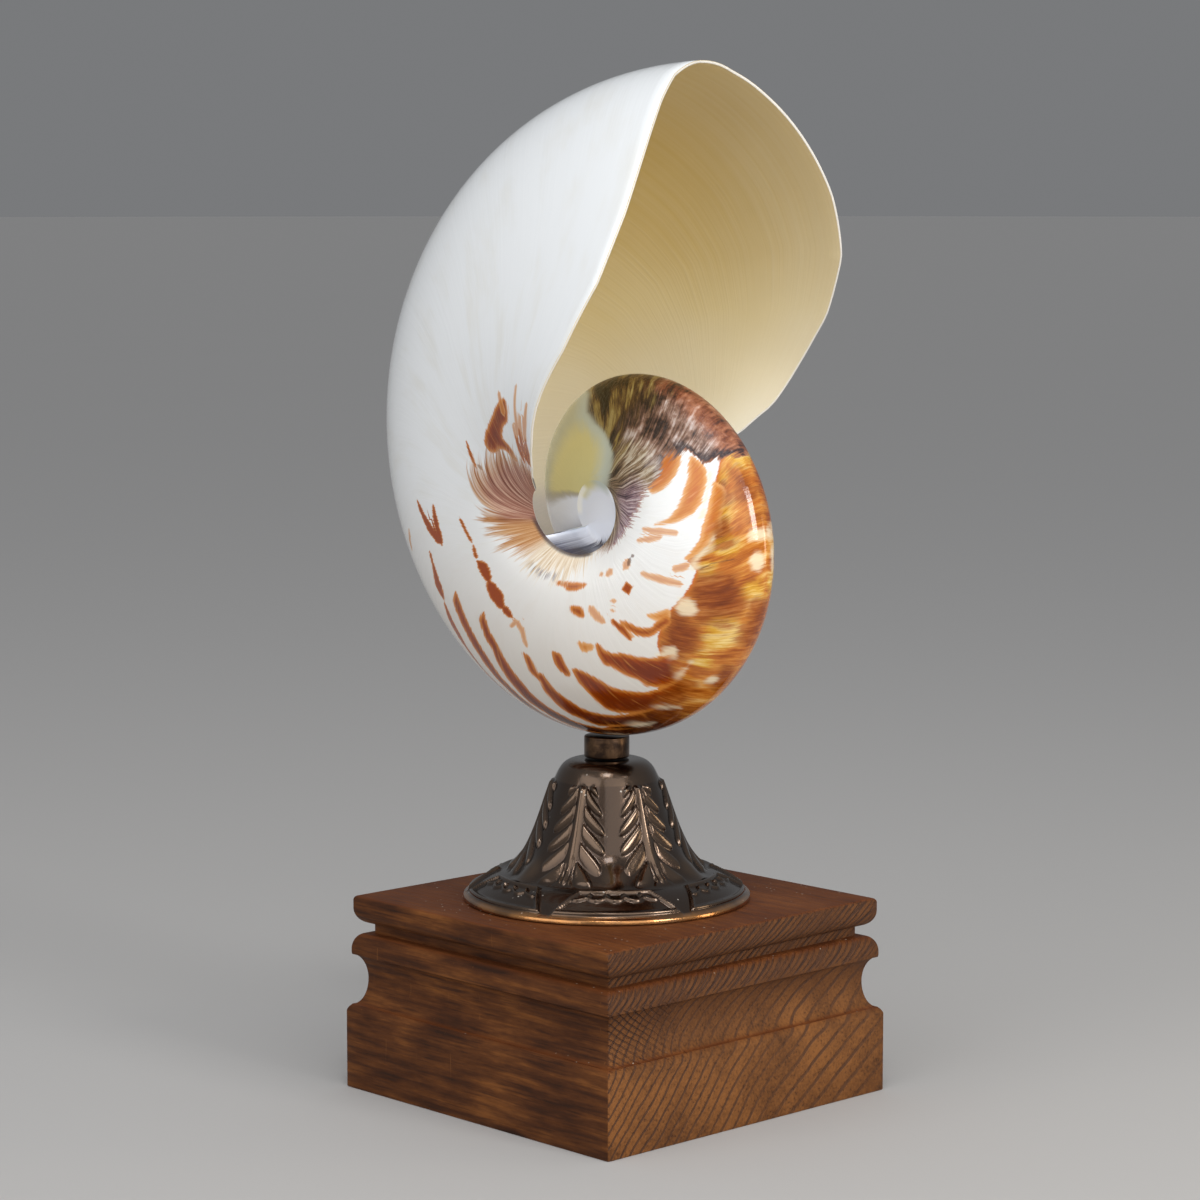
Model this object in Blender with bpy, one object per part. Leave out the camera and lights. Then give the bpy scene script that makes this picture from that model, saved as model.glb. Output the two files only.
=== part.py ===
"""Chambered nautilus shell on a bronze bell foot and a moulded wooden plinth.

Metres, +Z up. The origin is the centre of the plinth's underside, X and Y run along the plinth's
sides, and the shell's mouth opens towards +X and up. Pieces that rest on each other keep a gap.
"""
import math

import bmesh
import bpy
import numpy as np

GAP = 0.0003

# Plinth: one square block with a cove, a bead, a fillet and a rounded slab cut round its edge.
PLINTH_SIDE = 0.100
PLINTH_HEIGHT = 0.0512
PLINTH_BASE_HEIGHT = 0.0209
PLINTH_COVE_WAIST_HEIGHT = 0.0292
PLINTH_COVE_DEPTH = 0.0036
PLINTH_BEAD_BOTTOM = 0.0364
PLINTH_BEAD_TOP = 0.0412
PLINTH_FILLET_TOP = 0.0437
PLINTH_FILLET_SETBACK = 0.0054
PLINTH_SLAB_SETBACK = 0.0014

# Bell foot: a cast bell with six hanging leaves over a skirt with six raised panels.
FOOT_CENTRE = (-0.0014, -0.0015)
FOOT_TOP = 0.0880
FOOT_SHOULDER_RADIUS = 0.0136
FOOT_SHOULDER_HEIGHT = 0.0828
FOOT_WAIST_RADIUS = 0.0275
FOOT_WAIST_HEIGHT = 0.0580
FOOT_SKIRT_RADIUS = 0.0359
FOOT_SKIRT_HEIGHT = 0.0532
FOOT_RIM_RADIUS = 0.0375
FOOT_RIM_HEIGHT = 0.0527
LEAF_COUNT = 6
LEAF_BEARING = math.radians(-9.5)
LEAF_LOBES = 6
LEAF_RELIEF = 0.0009
PANEL_RELIEF = 0.0009
FOOT_SEGMENTS = 84

# Collar: the short brass sleeve that the shell sits on.
COLLAR_RADIUS = 0.0059
COLLAR_TOP = 0.0940

# Shell: a coil that grows by a fixed rate per radian and flares a little faster towards the mouth.
SHELL_CENTRE = (0.0094, -0.0045, 0.1536)
SHELL_TURN = math.radians(4.8)
SHELL_LEAN = math.radians(3.3)
MOUTH_RADIUS = 0.1211
MOUTH_BEARING = math.radians(67.5)
GROWTH_RATE = 0.165
FLARE = 0.153
FLARE_REACH = 1.2
BROADENING = 0.0243
SECTION_HALF_WIDTH = 0.410
SECTION_WIDEST_AT = 0.339
SECTION_AXIS_WIDTH = 0.671
WALL = 0.0016
LIP_WALL = 0.0012
PIT_RADIUS = 0.0090
PIT_FLOOR = 0.0098
PIT_FLOOR_TILT = 0.0018
CHAMBER_DEPTH = math.radians(140.0)
LIP_END = math.radians(-35.0)
LIP_SWEEP = math.radians(140.0)
# How far the lip runs ahead of the mouth angle, in degrees, from the keel (0) to the pit (1).
LIP_SHAPE = ((0.0, -7.9), (0.09, -7.0), (0.17, -4.7), (0.28, -1.0), (0.41, 3.4), (0.54, 6.8),
             (0.67, 7.2), (0.78, 4.6), (0.87, 3.0), (0.94, -6.0), (1.0, -35.0))
FLANK_COLUMNS = 15
CHAMBER_ROWS = 12
TURN_ROWS = 41


def smooth(value):
    """Ease from 0 to 1 as value goes from 0 to 1."""
    t = np.clip(value, 0.0, 1.0)
    return t * t * (3.0 - 2.0 * t)


def bezier(p0, p1, p2, p3, steps):
    """Points along a cubic curve, both ends included."""
    t = np.linspace(0.0, 1.0, steps + 1)[:, None]
    corners = [np.asarray(p, dtype=float) for p in (p0, p1, p2, p3)]
    weights = ((1 - t) ** 3, 3 * (1 - t) ** 2 * t, 3 * (1 - t) * t ** 2, t ** 3)
    return sum(w * c for w, c in zip(weights, corners))


def arc(centre, radii, start, end, steps):
    """Points along an upright elliptical arc, angles in degrees."""
    angles = np.radians(np.linspace(start, end, steps + 1))
    return np.column_stack([centre[0] + radii[0] * np.cos(angles),
                            centre[1] + radii[1] * np.sin(angles)])


def clear_scene():
    """Remove every object of the open file."""
    for item in list(bpy.data.objects):
        bpy.data.objects.remove(item, do_unlink=True)


def make_material(name, colour, roughness, metallic):
    """A plain Principled material."""
    material = bpy.data.materials.new(name)
    material.use_nodes = True
    shader = material.node_tree.nodes["Principled BSDF"]
    shader.inputs["Base Color"].default_value = (*colour, 1.0)
    shader.inputs["Roughness"].default_value = roughness
    shader.inputs["Metallic"].default_value = metallic
    return material


def make_object(name, points, faces, material, crease=35.0):
    """One object from points and faces, its normals turned outward."""
    mesh = bpy.data.meshes.new(name)
    mesh.from_pydata([tuple(p) for p in points], [], faces)
    work = bmesh.new()
    work.from_mesh(mesh)
    bmesh.ops.recalc_face_normals(work, faces=work.faces)
    work.to_mesh(mesh)
    work.free()
    mesh.shade_smooth()
    mesh.set_sharp_from_angle(angle=math.radians(crease))
    mesh.materials.append(material)
    item = bpy.data.objects.new(name, mesh)
    bpy.context.scene.collection.objects.link(item)
    return item


class Surface:
    """Gathers points and faces of one closed surface."""

    def __init__(self):
        self.points = []
        self.faces = []

    def add(self, grid):
        """Add an array of points and return their numbers in the same shape."""
        grid = np.asarray(grid, dtype=float)
        first = len(self.points)
        self.points.extend(grid.reshape(-1, 3))
        return np.arange(first, len(self.points)).reshape(grid.shape[:-1])

    def face(self, *corners):
        """Add a face, dropping corners that repeat."""
        kept = list(dict.fromkeys(int(c) for c in corners))
        if len(kept) > 2:
            self.faces.append(kept)

    def strip(self, first, second):
        """Quads between two rows of the same length."""
        for k in range(len(first) - 1):
            self.face(first[k], first[k + 1], second[k + 1], second[k])

    def sheet(self, grid):
        """Quads over a whole grid."""
        for first, second in zip(grid[:-1], grid[1:]):
            self.strip(first, second)

    def fan(self, ring, centre):
        """Triangles from a ring to one point."""
        for k in range(len(ring) - 1):
            self.face(ring[k], ring[k + 1], centre)


# Plinth

def plinth_profile():
    """The moulding's outline as half-width and height, from the underside to the top."""
    half = PLINTH_SIDE / 2
    waist = half - PLINTH_COVE_DEPTH - 0.0005
    fillet = half - PLINTH_FILLET_SETBACK
    slab = half - PLINTH_SLAB_SETBACK
    base = [(half - 0.0004, 0.0), (half, 0.0004), (half, PLINTH_BASE_HEIGHT),
            (half - 0.0005, PLINTH_BASE_HEIGHT + 0.0007)]
    cove_low = arc((waist + PLINTH_COVE_DEPTH - 0.0006, PLINTH_COVE_WAIST_HEIGHT),
                   (PLINTH_COVE_DEPTH - 0.0006, 0.0070), 270, 180, 6)
    cove_high = arc((waist + 0.0030, PLINTH_COVE_WAIST_HEIGHT), (0.0030, 0.0064), 180, 90, 6)[1:]
    bead_run = PLINTH_BEAD_TOP - PLINTH_BEAD_BOTTOM
    bead = arc((half - 0.0038, PLINTH_BEAD_BOTTOM + 0.0006), (0.0028, bead_run - 0.0006), 0, 90, 6)
    bead_foot = [(half - 0.0010, PLINTH_BEAD_BOTTOM - 0.0002)]
    groove = [(fillet, PLINTH_BEAD_TOP + 0.0001), (fillet, PLINTH_FILLET_TOP)]
    under = arc((slab - 0.0034, PLINTH_FILLET_TOP + 0.0042), (0.0034, 0.0040), -82, 0, 5)
    edge = arc((slab - 0.0011, PLINTH_HEIGHT - 0.0011), (0.0011, 0.0011), 0, 90, 4)
    return np.vstack([base, cove_low, cove_high, bead_foot, bead, groove, under, edge])


def build_plinth(material):
    """Square rings up the moulding's outline, closed below and above."""
    surface = Surface()
    corners = np.array([(1, -1), (1, 1), (-1, 1), (-1, -1)], dtype=float)
    rings = [[(s * x, s * y, h) for x, y in corners] for s, h in plinth_profile()]
    grid = surface.add(rings)
    closed = np.hstack([grid, grid[:, :1]])
    surface.sheet(closed)
    surface.face(*grid[0])
    surface.face(*grid[-1])
    return make_object("plinth", surface.points, surface.faces, material, crease=30.0)


# Bell foot

def foot_profile():
    """Outline of the bell and skirt as radius, height and kind of ornament, from top to rim."""
    shoulder = bezier((0.0070, FOOT_TOP), (0.0110, FOOT_TOP), (0.0122, 0.0862),
                      (FOOT_SHOULDER_RADIUS, FOOT_SHOULDER_HEIGHT), 4)
    bell = bezier((FOOT_SHOULDER_RADIUS, FOOT_SHOULDER_HEIGHT), (0.0174, 0.0728),
                  (0.0198, 0.0605), (FOOT_WAIST_RADIUS, FOOT_WAIST_HEIGHT), 14)[1:]
    skirt = bezier((FOOT_WAIST_RADIUS, FOOT_WAIST_HEIGHT), (0.0302, 0.0573), (0.0335, 0.0553),
                   (FOOT_SKIRT_RADIUS, FOOT_SKIRT_HEIGHT), 6)[1:]
    rim = np.array([(FOOT_RIM_RADIUS - 0.0003, FOOT_RIM_HEIGHT),
                    (FOOT_RIM_RADIUS, FOOT_RIM_HEIGHT - 0.0004),
                    (FOOT_RIM_RADIUS, PLINTH_HEIGHT + GAP)])
    kinds = ["plain"] * len(shoulder) + ["leaf"] * len(bell) + ["panel"] * len(skirt)
    return np.vstack([shoulder, bell, skirt, rim]), kinds + ["plain"] * len(rim)


def leaf_raise(angle, radius, height):
    """Height of a hanging leaf above the bell: a midrib with lobes that droop on both sides."""
    down = (FOOT_SHOULDER_HEIGHT - height) / (FOOT_SHOULDER_HEIGHT - FOOT_WAIST_HEIGHT - 0.001)
    if not 0.0 < down < 1.0:
        return 0.0
    across = abs(angle) * radius
    half = 0.0032 + 0.0050 * math.sin(min(down * 1.25, 1.0) * math.pi / 2)
    rib = 0.7 * math.exp(-(across / 0.0010) ** 2)
    phase = LEAF_LOBES * (down - 0.55 * across / half / LEAF_LOBES * 1.6)
    lobe = max(0.0, math.cos(2 * math.pi * phase)) ** 0.8
    envelope = math.sin(math.pi * min(across / half, 1.0)) ** 0.6
    ends = float(smooth(down / 0.08) * smooth((1.0 - down) / 0.08))
    return LEAF_RELIEF * max(rib, lobe * envelope) * ends


def panel_raise(angle, radius):
    """Height of a raised four-sided panel above the skirt."""
    along = (radius - FOOT_WAIST_RADIUS) / (FOOT_SKIRT_RADIUS - FOOT_WAIST_RADIUS)
    half = math.radians(20.0 + 8.0 * along)
    side = float(smooth((half - abs(angle)) / math.radians(4.0)))
    return PANEL_RELIEF * side * float(smooth(along / 0.2) * smooth((1.05 - along) / 0.15))


def build_foot(material):
    """The bell and its skirt in one casting, ornament raised along the outline's normal."""
    outline, kinds = foot_profile()
    slope = np.gradient(outline, axis=0)
    normals = np.column_stack([-slope[:, 1], slope[:, 0]])
    normals /= np.linalg.norm(normals, axis=1)[:, None]
    pitch = 2 * math.pi / LEAF_COUNT
    rings = []
    for (radius, height), normal, kind in zip(outline, normals, kinds):
        ring = []
        for k in range(FOOT_SEGMENTS):
            turn = 2 * math.pi * k / FOOT_SEGMENTS
            leaf_angle = (turn + pitch / 2) % pitch - pitch / 2
            panel_angle = turn % pitch - pitch / 2
            rise = 0.0
            if kind == "leaf":
                rise = leaf_raise(leaf_angle, radius, height)
            if kind == "panel":
                rise = panel_raise(panel_angle, radius)
            r = radius + normal[0] * rise
            ring.append((r * math.cos(turn), r * math.sin(turn), height + normal[1] * rise))
        rings.append(ring)
    surface = Surface()
    grid = surface.add(rings)
    surface.sheet(np.hstack([grid, grid[:, :1]]))
    surface.face(*grid[0])
    surface.face(*grid[-1])
    item = make_object("bell_foot", surface.points, surface.faces, material, crease=60.0)
    item.location = (*FOOT_CENTRE, 0.0)
    item.rotation_euler = (0.0, 0.0, LEAF_BEARING)
    return item


# Collar

def build_collar(material):
    """A short round sleeve with softened ends."""
    work = bmesh.new()
    bottom = FOOT_TOP + GAP
    bmesh.ops.create_cone(work, cap_ends=True, segments=32, radius1=COLLAR_RADIUS,
                          radius2=COLLAR_RADIUS, depth=COLLAR_TOP - bottom)
    ends = [e for e in work.edges if abs(e.verts[0].co.z - e.verts[1].co.z) < 1e-6]
    bmesh.ops.bevel(work, geom=ends, offset=0.0004, segments=1, profile=0.5, affect="EDGES")
    mesh = bpy.data.meshes.new("collar")
    work.to_mesh(mesh)
    work.free()
    mesh.shade_smooth()
    mesh.set_sharp_from_angle(angle=math.radians(30.0))
    mesh.materials.append(material)
    item = bpy.data.objects.new("collar", mesh)
    bpy.context.scene.collection.objects.link(item)
    item.location = (*FOOT_CENTRE, (bottom + COLLAR_TOP) / 2)
    return item


# Shell

def half_section():
    """Half of the whorl's section for a radius of 1, from the keel to the coil axis."""
    widest = (SECTION_WIDEST_AT, SECTION_HALF_WIDTH)
    over = SECTION_WIDEST_AT + 0.472 * (1.0 - SECTION_WIDEST_AT)
    flank = bezier((1.0, 0.0), (1.0, 0.481 * SECTION_HALF_WIDTH), (over, SECTION_HALF_WIDTH),
                   widest, 40)
    axis = (0.0, SECTION_AXIS_WIDTH * SECTION_HALF_WIDTH)
    rise = 0.464 * SECTION_WIDEST_AT
    dip = math.radians(20.8)
    inner = (rise * math.cos(dip), axis[1] + rise * math.sin(dip))
    shoulder = bezier(widest, (0.587 * SECTION_WIDEST_AT, SECTION_HALF_WIDTH), inner, axis, 40)
    return np.vstack([flank, shoulder[1:]])


SECTION = half_section()


def whorl_size(growth):
    """Radius from the coil axis to the keel at a growth angle."""
    flare = FLARE * (np.exp(growth / FLARE_REACH) - 1.0)
    return MOUTH_RADIUS * np.exp(GROWTH_RATE * growth + flare)


def section_curve(growth, end_radius, inset, count):
    """Section at a growth angle, set in by a wall, from the keel to a radius, evenly spaced."""
    size = whorl_size(growth)
    curve = SECTION * (size, size * math.exp(BROADENING * growth))
    slope = np.gradient(curve, axis=0)
    normal = np.column_stack([slope[:, 1], -slope[:, 0]])
    normal /= np.linalg.norm(normal, axis=1)[:, None]
    curve = curve - inset * normal
    curve[0, 1] = 0.0
    kept = curve[curve[:, 0] > end_radius]
    end = (end_radius, np.interp(-end_radius, -curve[:, 0], curve[:, 1]))
    kept = np.vstack([kept, end])
    length = np.r_[0.0, np.cumsum(np.linalg.norm(np.diff(kept, axis=0), axis=1))]
    even = np.linspace(0.0, length[-1], count + 1)
    return np.column_stack([np.interp(even, length, kept[:, 0]),
                            np.interp(even, length, kept[:, 1])])


def place(radius, bearing, width):
    """A point of the shell from its distance to the axis, its bearing and its width."""
    return np.stack([radius * np.cos(bearing), -width, radius * np.sin(bearing)], axis=-1)


def lip_ahead(fraction):
    """Growth angle of the lip at a fraction of the way from the keel to the pit."""
    where, degrees = zip(*LIP_SHAPE)
    return np.radians(np.interp(fraction, where, degrees))


def growth_along(row_growth):
    """Growth angle of each column in a row whose end beside the pit has this growth angle."""
    share = smooth((row_growth - LIP_END + LIP_SWEEP) / LIP_SWEEP)
    fractions = np.linspace(0.0, 1.0, FLANK_COLUMNS + 1)
    return row_growth + (lip_ahead(fractions) - LIP_END) * share, share


def flank_row(row_growth, inner):
    """One row across the shell, from the far pit over the keel to the near pit."""
    growths, share = growth_along(row_growth)
    half = []
    for column, growth in enumerate(growths):
        if inner:
            wall = WALL + (LIP_WALL - WALL) * float(share) ** 6
            curve = section_curve(growth, PIT_RADIUS + wall, wall, FLANK_COLUMNS)
        else:
            curve = section_curve(growth, PIT_RADIUS, 0.0, FLANK_COLUMNS)
        radius, width = curve[column]
        half.append((radius, MOUTH_BEARING - growth, width))
    half = np.array(half)
    near = place(half[:, 0], half[:, 1], half[:, 2])
    far = place(half[:, 0], half[:, 1], -half[:, 2])
    return np.vstack([far[:0:-1], near])


def pit_point(share, growth, side):
    """A point on the pit's floor, higher towards the older side of the coil."""
    bearing = MOUTH_BEARING - growth
    tilt = PIT_FLOOR_TILT * share * math.cos(bearing - math.radians(20.0))
    return place(PIT_RADIUS * share, bearing, side * (PIT_FLOOR + tilt))


def build_lip(surface, outer_edge, inner_edge):
    """The rounded edge of the mouth, run as one loop over the keel and down beside both pits."""
    points = np.array(surface.points)
    middle = (points[outer_edge] + points[inner_edge]) / 2
    thick = points[outer_edge] - points[inner_edge]
    along = np.gradient(middle, axis=0)
    proud = np.cross(along, thick)
    proud /= np.linalg.norm(proud, axis=1)[:, None]
    centre = points[outer_edge].mean(axis=0)
    keel = len(outer_edge) // 2
    if np.dot(proud[keel], points[outer_edge[keel]] - centre) < 0.0:
        proud = -proud
    lip = surface.add(middle + proud * LIP_WALL * 0.35)
    surface.strip(outer_edge, lip)
    surface.strip(lip, inner_edge)
    return lip


def build_back_wall(surface, inner_row, outer_row):
    """The curved wall that closes the body chamber, bowed back towards the older coil."""
    points = np.array(surface.points)
    start, end = points[inner_row], points[outer_row]
    across = np.linspace(-1.0, 1.0, len(inner_row))
    bearing = MOUTH_BEARING + CHAMBER_DEPTH
    back = np.array([-math.sin(bearing), 0.0, math.cos(bearing)])
    rows = [inner_row]
    for part, depth in ((0.35, 0.0075), (0.75, 0.0060)):
        bow = depth * np.sqrt(np.clip(1.0 - across ** 2, 0.0, 1.0))
        rows.append(surface.add(start + (end - start) * part + bow[:, None] * back))
    rows.append(outer_row)
    surface.sheet(np.array(rows))
    return rows


def build_pit(surface, ring, ring_growth, side):
    """Wall and floor of the pit from one full turn of the flank's inner edge."""
    turns = ring_growth[:-1]
    foot = surface.add([pit_point(0.82, g, side) for g in turns])
    middle = surface.add([pit_point(0.45, g, side) for g in turns])
    centre = surface.add([pit_point(0.0, 0.0, side)])[0]
    foot = np.append(foot, foot[0])
    middle = np.append(middle, middle[0])
    surface.strip(ring, foot)
    surface.strip(foot, middle)
    surface.fan(middle, centre)
    return foot


def build_shell(material):
    """The whole shell as one closed surface: outside, body chamber, lip, back wall and pits."""
    surface = Surface()
    chamber = np.linspace(-CHAMBER_DEPTH, LIP_END, CHAMBER_ROWS + 1)
    turn = np.linspace(-CHAMBER_DEPTH - 2 * math.pi, -CHAMBER_DEPTH, TURN_ROWS + 1)
    outer = surface.add([flank_row(g, inner=False) for g in np.append(turn, chamber[1:])])
    inner = surface.add([flank_row(g, inner=True) for g in chamber])
    surface.sheet(outer)
    surface.sheet(inner)
    mouth = outer[TURN_ROWS:]
    outer_edge = np.concatenate([mouth[:-1, 0], mouth[-1], mouth[-2::-1, -1]])
    inner_edge = np.concatenate([inner[:-1, 0], inner[-1], inner[-2::-1, -1]])
    lip = build_lip(surface, outer_edge, inner_edge)
    back = build_back_wall(surface, inner[0], outer[0])
    for column, side in ((0, -1.0), (-1, 1.0)):
        foot = build_pit(surface, outer[:TURN_ROWS + 1, column], turn, side)
        rim = [row[column] for row in back[::-1]] + [lip[column], mouth[0, column]]
        surface.fan(rim, foot[0])
    item = make_object("shell", surface.points, surface.faces, material, crease=50.0)
    item.location = SHELL_CENTRE
    item.rotation_euler = (SHELL_LEAN, 0.0, SHELL_TURN)
    return item


def main():
    """Build every piece."""
    clear_scene()
    build_plinth(make_material("oiled_wood", (0.26, 0.13, 0.06), 0.45, 0.0))
    build_foot(make_material("dark_bronze", (0.16, 0.12, 0.085), 0.28, 1.0))
    build_collar(make_material("brass", (0.42, 0.30, 0.16), 0.30, 1.0))
    build_shell(make_material("shell_porcelain", (0.86, 0.84, 0.79), 0.18, 0.0))


main()
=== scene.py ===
"""Looks of the chambered nautilus shell, its bronze bell foot and its moulded wooden plinth.

Metres, +Z up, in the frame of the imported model. Marks on the shell are drawn in the shell's own
coordinates: the bearing round the coil axis in degrees, unwound towards the older coil, and the
fraction of the way across the flank from the keel (0) to the pit in the middle of the coil (1).
"""
import logging
import math
from dataclasses import dataclass
from enum import Enum
from typing import Dict, List, Optional, Sequence, Tuple, Union

import bmesh
import bpy
import numpy as np
from mathutils import Euler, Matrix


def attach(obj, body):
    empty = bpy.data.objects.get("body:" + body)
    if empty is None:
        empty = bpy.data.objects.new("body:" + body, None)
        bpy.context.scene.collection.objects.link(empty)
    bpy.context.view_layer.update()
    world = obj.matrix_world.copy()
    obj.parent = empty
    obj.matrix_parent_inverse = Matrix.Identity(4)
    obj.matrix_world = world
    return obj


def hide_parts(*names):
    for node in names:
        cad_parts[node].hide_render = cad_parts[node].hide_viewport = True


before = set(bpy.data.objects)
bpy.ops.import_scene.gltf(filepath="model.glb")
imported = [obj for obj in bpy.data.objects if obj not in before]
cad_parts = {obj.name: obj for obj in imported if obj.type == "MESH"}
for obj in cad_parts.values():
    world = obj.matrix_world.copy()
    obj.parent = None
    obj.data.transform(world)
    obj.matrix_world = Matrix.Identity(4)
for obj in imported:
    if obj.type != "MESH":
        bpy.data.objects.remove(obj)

LOG = logging.getLogger("nautilus_on_stand")
MILLIMETRE = 0.001
Amount = Union[float, "Channel"]
Colour = Tuple[float, float, float]
Tint = Union[Colour, "Channel"]
Mark = Tuple[Tuple[float, float, float], ...]
Outline = Tuple[Tuple[float, float], ...]
Stops = Tuple[Tuple[float, Colour], ...]


def smooth(value: np.ndarray) -> np.ndarray:
    """Ease from 0 to 1 as value goes from 0 to 1."""
    t = np.clip(value, 0.0, 1.0)
    return t * t * (3.0 - 2.0 * t)


def bezier(p0: Sequence[float], p1: Sequence[float], p2: Sequence[float], p3: Sequence[float],
           steps: int) -> np.ndarray:
    """Points along a cubic curve, both ends included.

    Args:
        p0: Where the curve starts.
        p1: The handle of the start.
        p2: The handle of the end.
        p3: Where the curve ends.
        steps: How many stretches the curve is cut into.

    Returns:
        One row for each point.
    """
    t = np.linspace(0.0, 1.0, steps + 1)[:, None]
    corners = [np.asarray(p, dtype=float) for p in (p0, p1, p2, p3)]
    weights = ((1 - t) ** 3, 3 * (1 - t) ** 2 * t, 3 * (1 - t) * t ** 2, t ** 3)
    return sum(w * c for w, c in zip(weights, corners))


def arc(centre: Sequence[float], radii: Sequence[float], start: float, end: float,
        steps: int) -> np.ndarray:
    """Points along an upright elliptical arc.

    Args:
        centre: Middle of the ellipse.
        radii: Its half-width and half-height.
        start: First angle in degrees.
        end: Last angle in degrees.
        steps: How many stretches the arc is cut into.

    Returns:
        One row for each point.
    """
    angles = np.radians(np.linspace(start, end, steps + 1))
    return np.column_stack([centre[0] + radii[0] * np.cos(angles),
                            centre[1] + radii[1] * np.sin(angles)])


def rounded(corners: np.ndarray) -> np.ndarray:
    """An outline with each corner cut twice, so that it runs softly."""
    for cut in (0.14, 0.25):
        ahead = np.roll(corners, -1, axis=0)
        corners = np.stack([corners * (1.0 - cut) + ahead * cut,
                            corners * cut + ahead * (1.0 - cut)], axis=1).reshape(-1, 2)
    return corners


def lengths_along(line: np.ndarray) -> np.ndarray:
    """Length that is run at each point of a line."""
    return np.r_[0.0, np.linalg.norm(np.diff(line, axis=0), axis=1).cumsum()]


def shares_along(line: np.ndarray) -> np.ndarray:
    """Share of the whole length that is run at each point of a line."""
    lengths = lengths_along(line)
    return lengths / lengths[-1]


def unit(rows: np.ndarray) -> np.ndarray:
    """Each row brought to length 1."""
    return rows / np.linalg.norm(rows, axis=1)[:, None]


def linear(*values: int) -> Colour:
    """A colour as the shaders take it, from red, green and blue on a screen (0 to 255)."""
    shares = [value / 255.0 for value in values]
    return tuple(v / 12.92 if v <= 0.04045 else ((v + 0.055) / 1.055) ** 2.4 for v in shares)


def tones(*stops: Tuple[float, int, int, int]) -> Stops:
    """A ramp's stops, each from its position and its colour on a screen."""
    return tuple((position, linear(*colour)) for position, *colour in stops)


class Channel:
    """A socket that takes part in Python sums: each sum adds its Math node."""

    def __init__(self, recipe: "Wiring", socket: bpy.types.NodeSocket) -> None:
        """Wrap one output socket of a node tree."""
        self.recipe = recipe
        self.socket = socket

    def _sum(self, operation: str, *values: Amount) -> "Channel":
        """Add one Math node and return its result."""
        node = self.recipe.add("ShaderNodeMath", {"operation": operation},
                               dict(enumerate(values)))
        return Channel(self.recipe, node.outputs[0])

    def __add__(self, other: Amount) -> "Channel":
        """Sum of both."""
        return self._sum("ADD", self, other)

    def __radd__(self, other: Amount) -> "Channel":
        """Sum of both."""
        return self._sum("ADD", other, self)

    def __sub__(self, other: Amount) -> "Channel":
        """This less the other."""
        return self._sum("SUBTRACT", self, other)

    def __rsub__(self, other: Amount) -> "Channel":
        """The other less this."""
        return self._sum("SUBTRACT", other, self)

    def __mul__(self, other: Amount) -> "Channel":
        """Product of both."""
        return self._sum("MULTIPLY", self, other)

    def __rmul__(self, other: Amount) -> "Channel":
        """Product of both."""
        return self._sum("MULTIPLY", other, self)

    def __abs__(self) -> "Channel":
        """The same without its sign."""
        return self._sum("ABSOLUTE", self)

    def __pow__(self, power: float) -> "Channel":
        """This raised to a power."""
        return self._sum("POWER", self, power)

    def least(self, other: Amount) -> "Channel":
        """The smaller of both."""
        return self._sum("MINIMUM", self, other)

    def most(self, other: Amount) -> "Channel":
        """The larger of both."""
        return self._sum("MAXIMUM", self, other)

    def sine(self) -> "Channel":
        """Sine of an angle in radians."""
        return self._sum("SINE", self)

    def step(self, low: float, high: float) -> "Channel":
        """Ease from 0 at low to 1 at high, and from 1 to 0 where low is the larger.

        Args:
            low: Value that gives 0.
            high: Value that gives 1.

        Returns:
            The eased share.
        """
        node = self.recipe.add("ShaderNodeMapRange", {"interpolation_type": "SMOOTHSTEP"},
                               {"Value": self, "From Min": low, "From Max": high})
        return Channel(self.recipe, node.outputs[0])


class Wiring:
    """An emptied node tree, and the one way in which nodes are added to it."""

    def __init__(self, tree: bpy.types.NodeTree) -> None:
        """Take up a tree and empty it."""
        self.tree = tree
        self.tree.nodes.clear()

    def feed(self, node: bpy.types.Node, inputs: Dict[Union[str, int], object]) -> None:
        """Set or link sockets of a node, by the input's name or number."""
        for name, value in inputs.items():
            socket = node.inputs[name]
            value = value.socket if isinstance(value, Channel) else value
            if isinstance(value, bpy.types.NodeSocket):
                self.tree.links.new(value, socket)
            elif socket.type == "RGBA":
                socket.default_value = (*value, 1.0)
            else:
                socket.default_value = value

    def add(self, kind: str, settings: Optional[Dict[str, object]] = None,
            inputs: Optional[Dict[Union[str, int], object]] = None) -> bpy.types.Node:
        """Add a node of any type.

        Args:
            kind: The node's type.
            settings: Its properties, set first; "stops" holds a ramp's positions and colours.
            inputs: Values, channels or sockets by the input's name or number.

        Returns:
            The new node.
        """
        node = self.tree.nodes.new(kind)
        for name, value in (settings or {}).items():
            if name == "stops":
                elements = node.color_ramp.elements
                while len(elements) < len(value):
                    elements.new(0.5)
                for element, (position, colour) in zip(elements, value):
                    element.position = position
                    element.color = (*colour, 1.0)
            else:
                setattr(node, name, value)
        self.feed(node, inputs or {})
        return node


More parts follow.
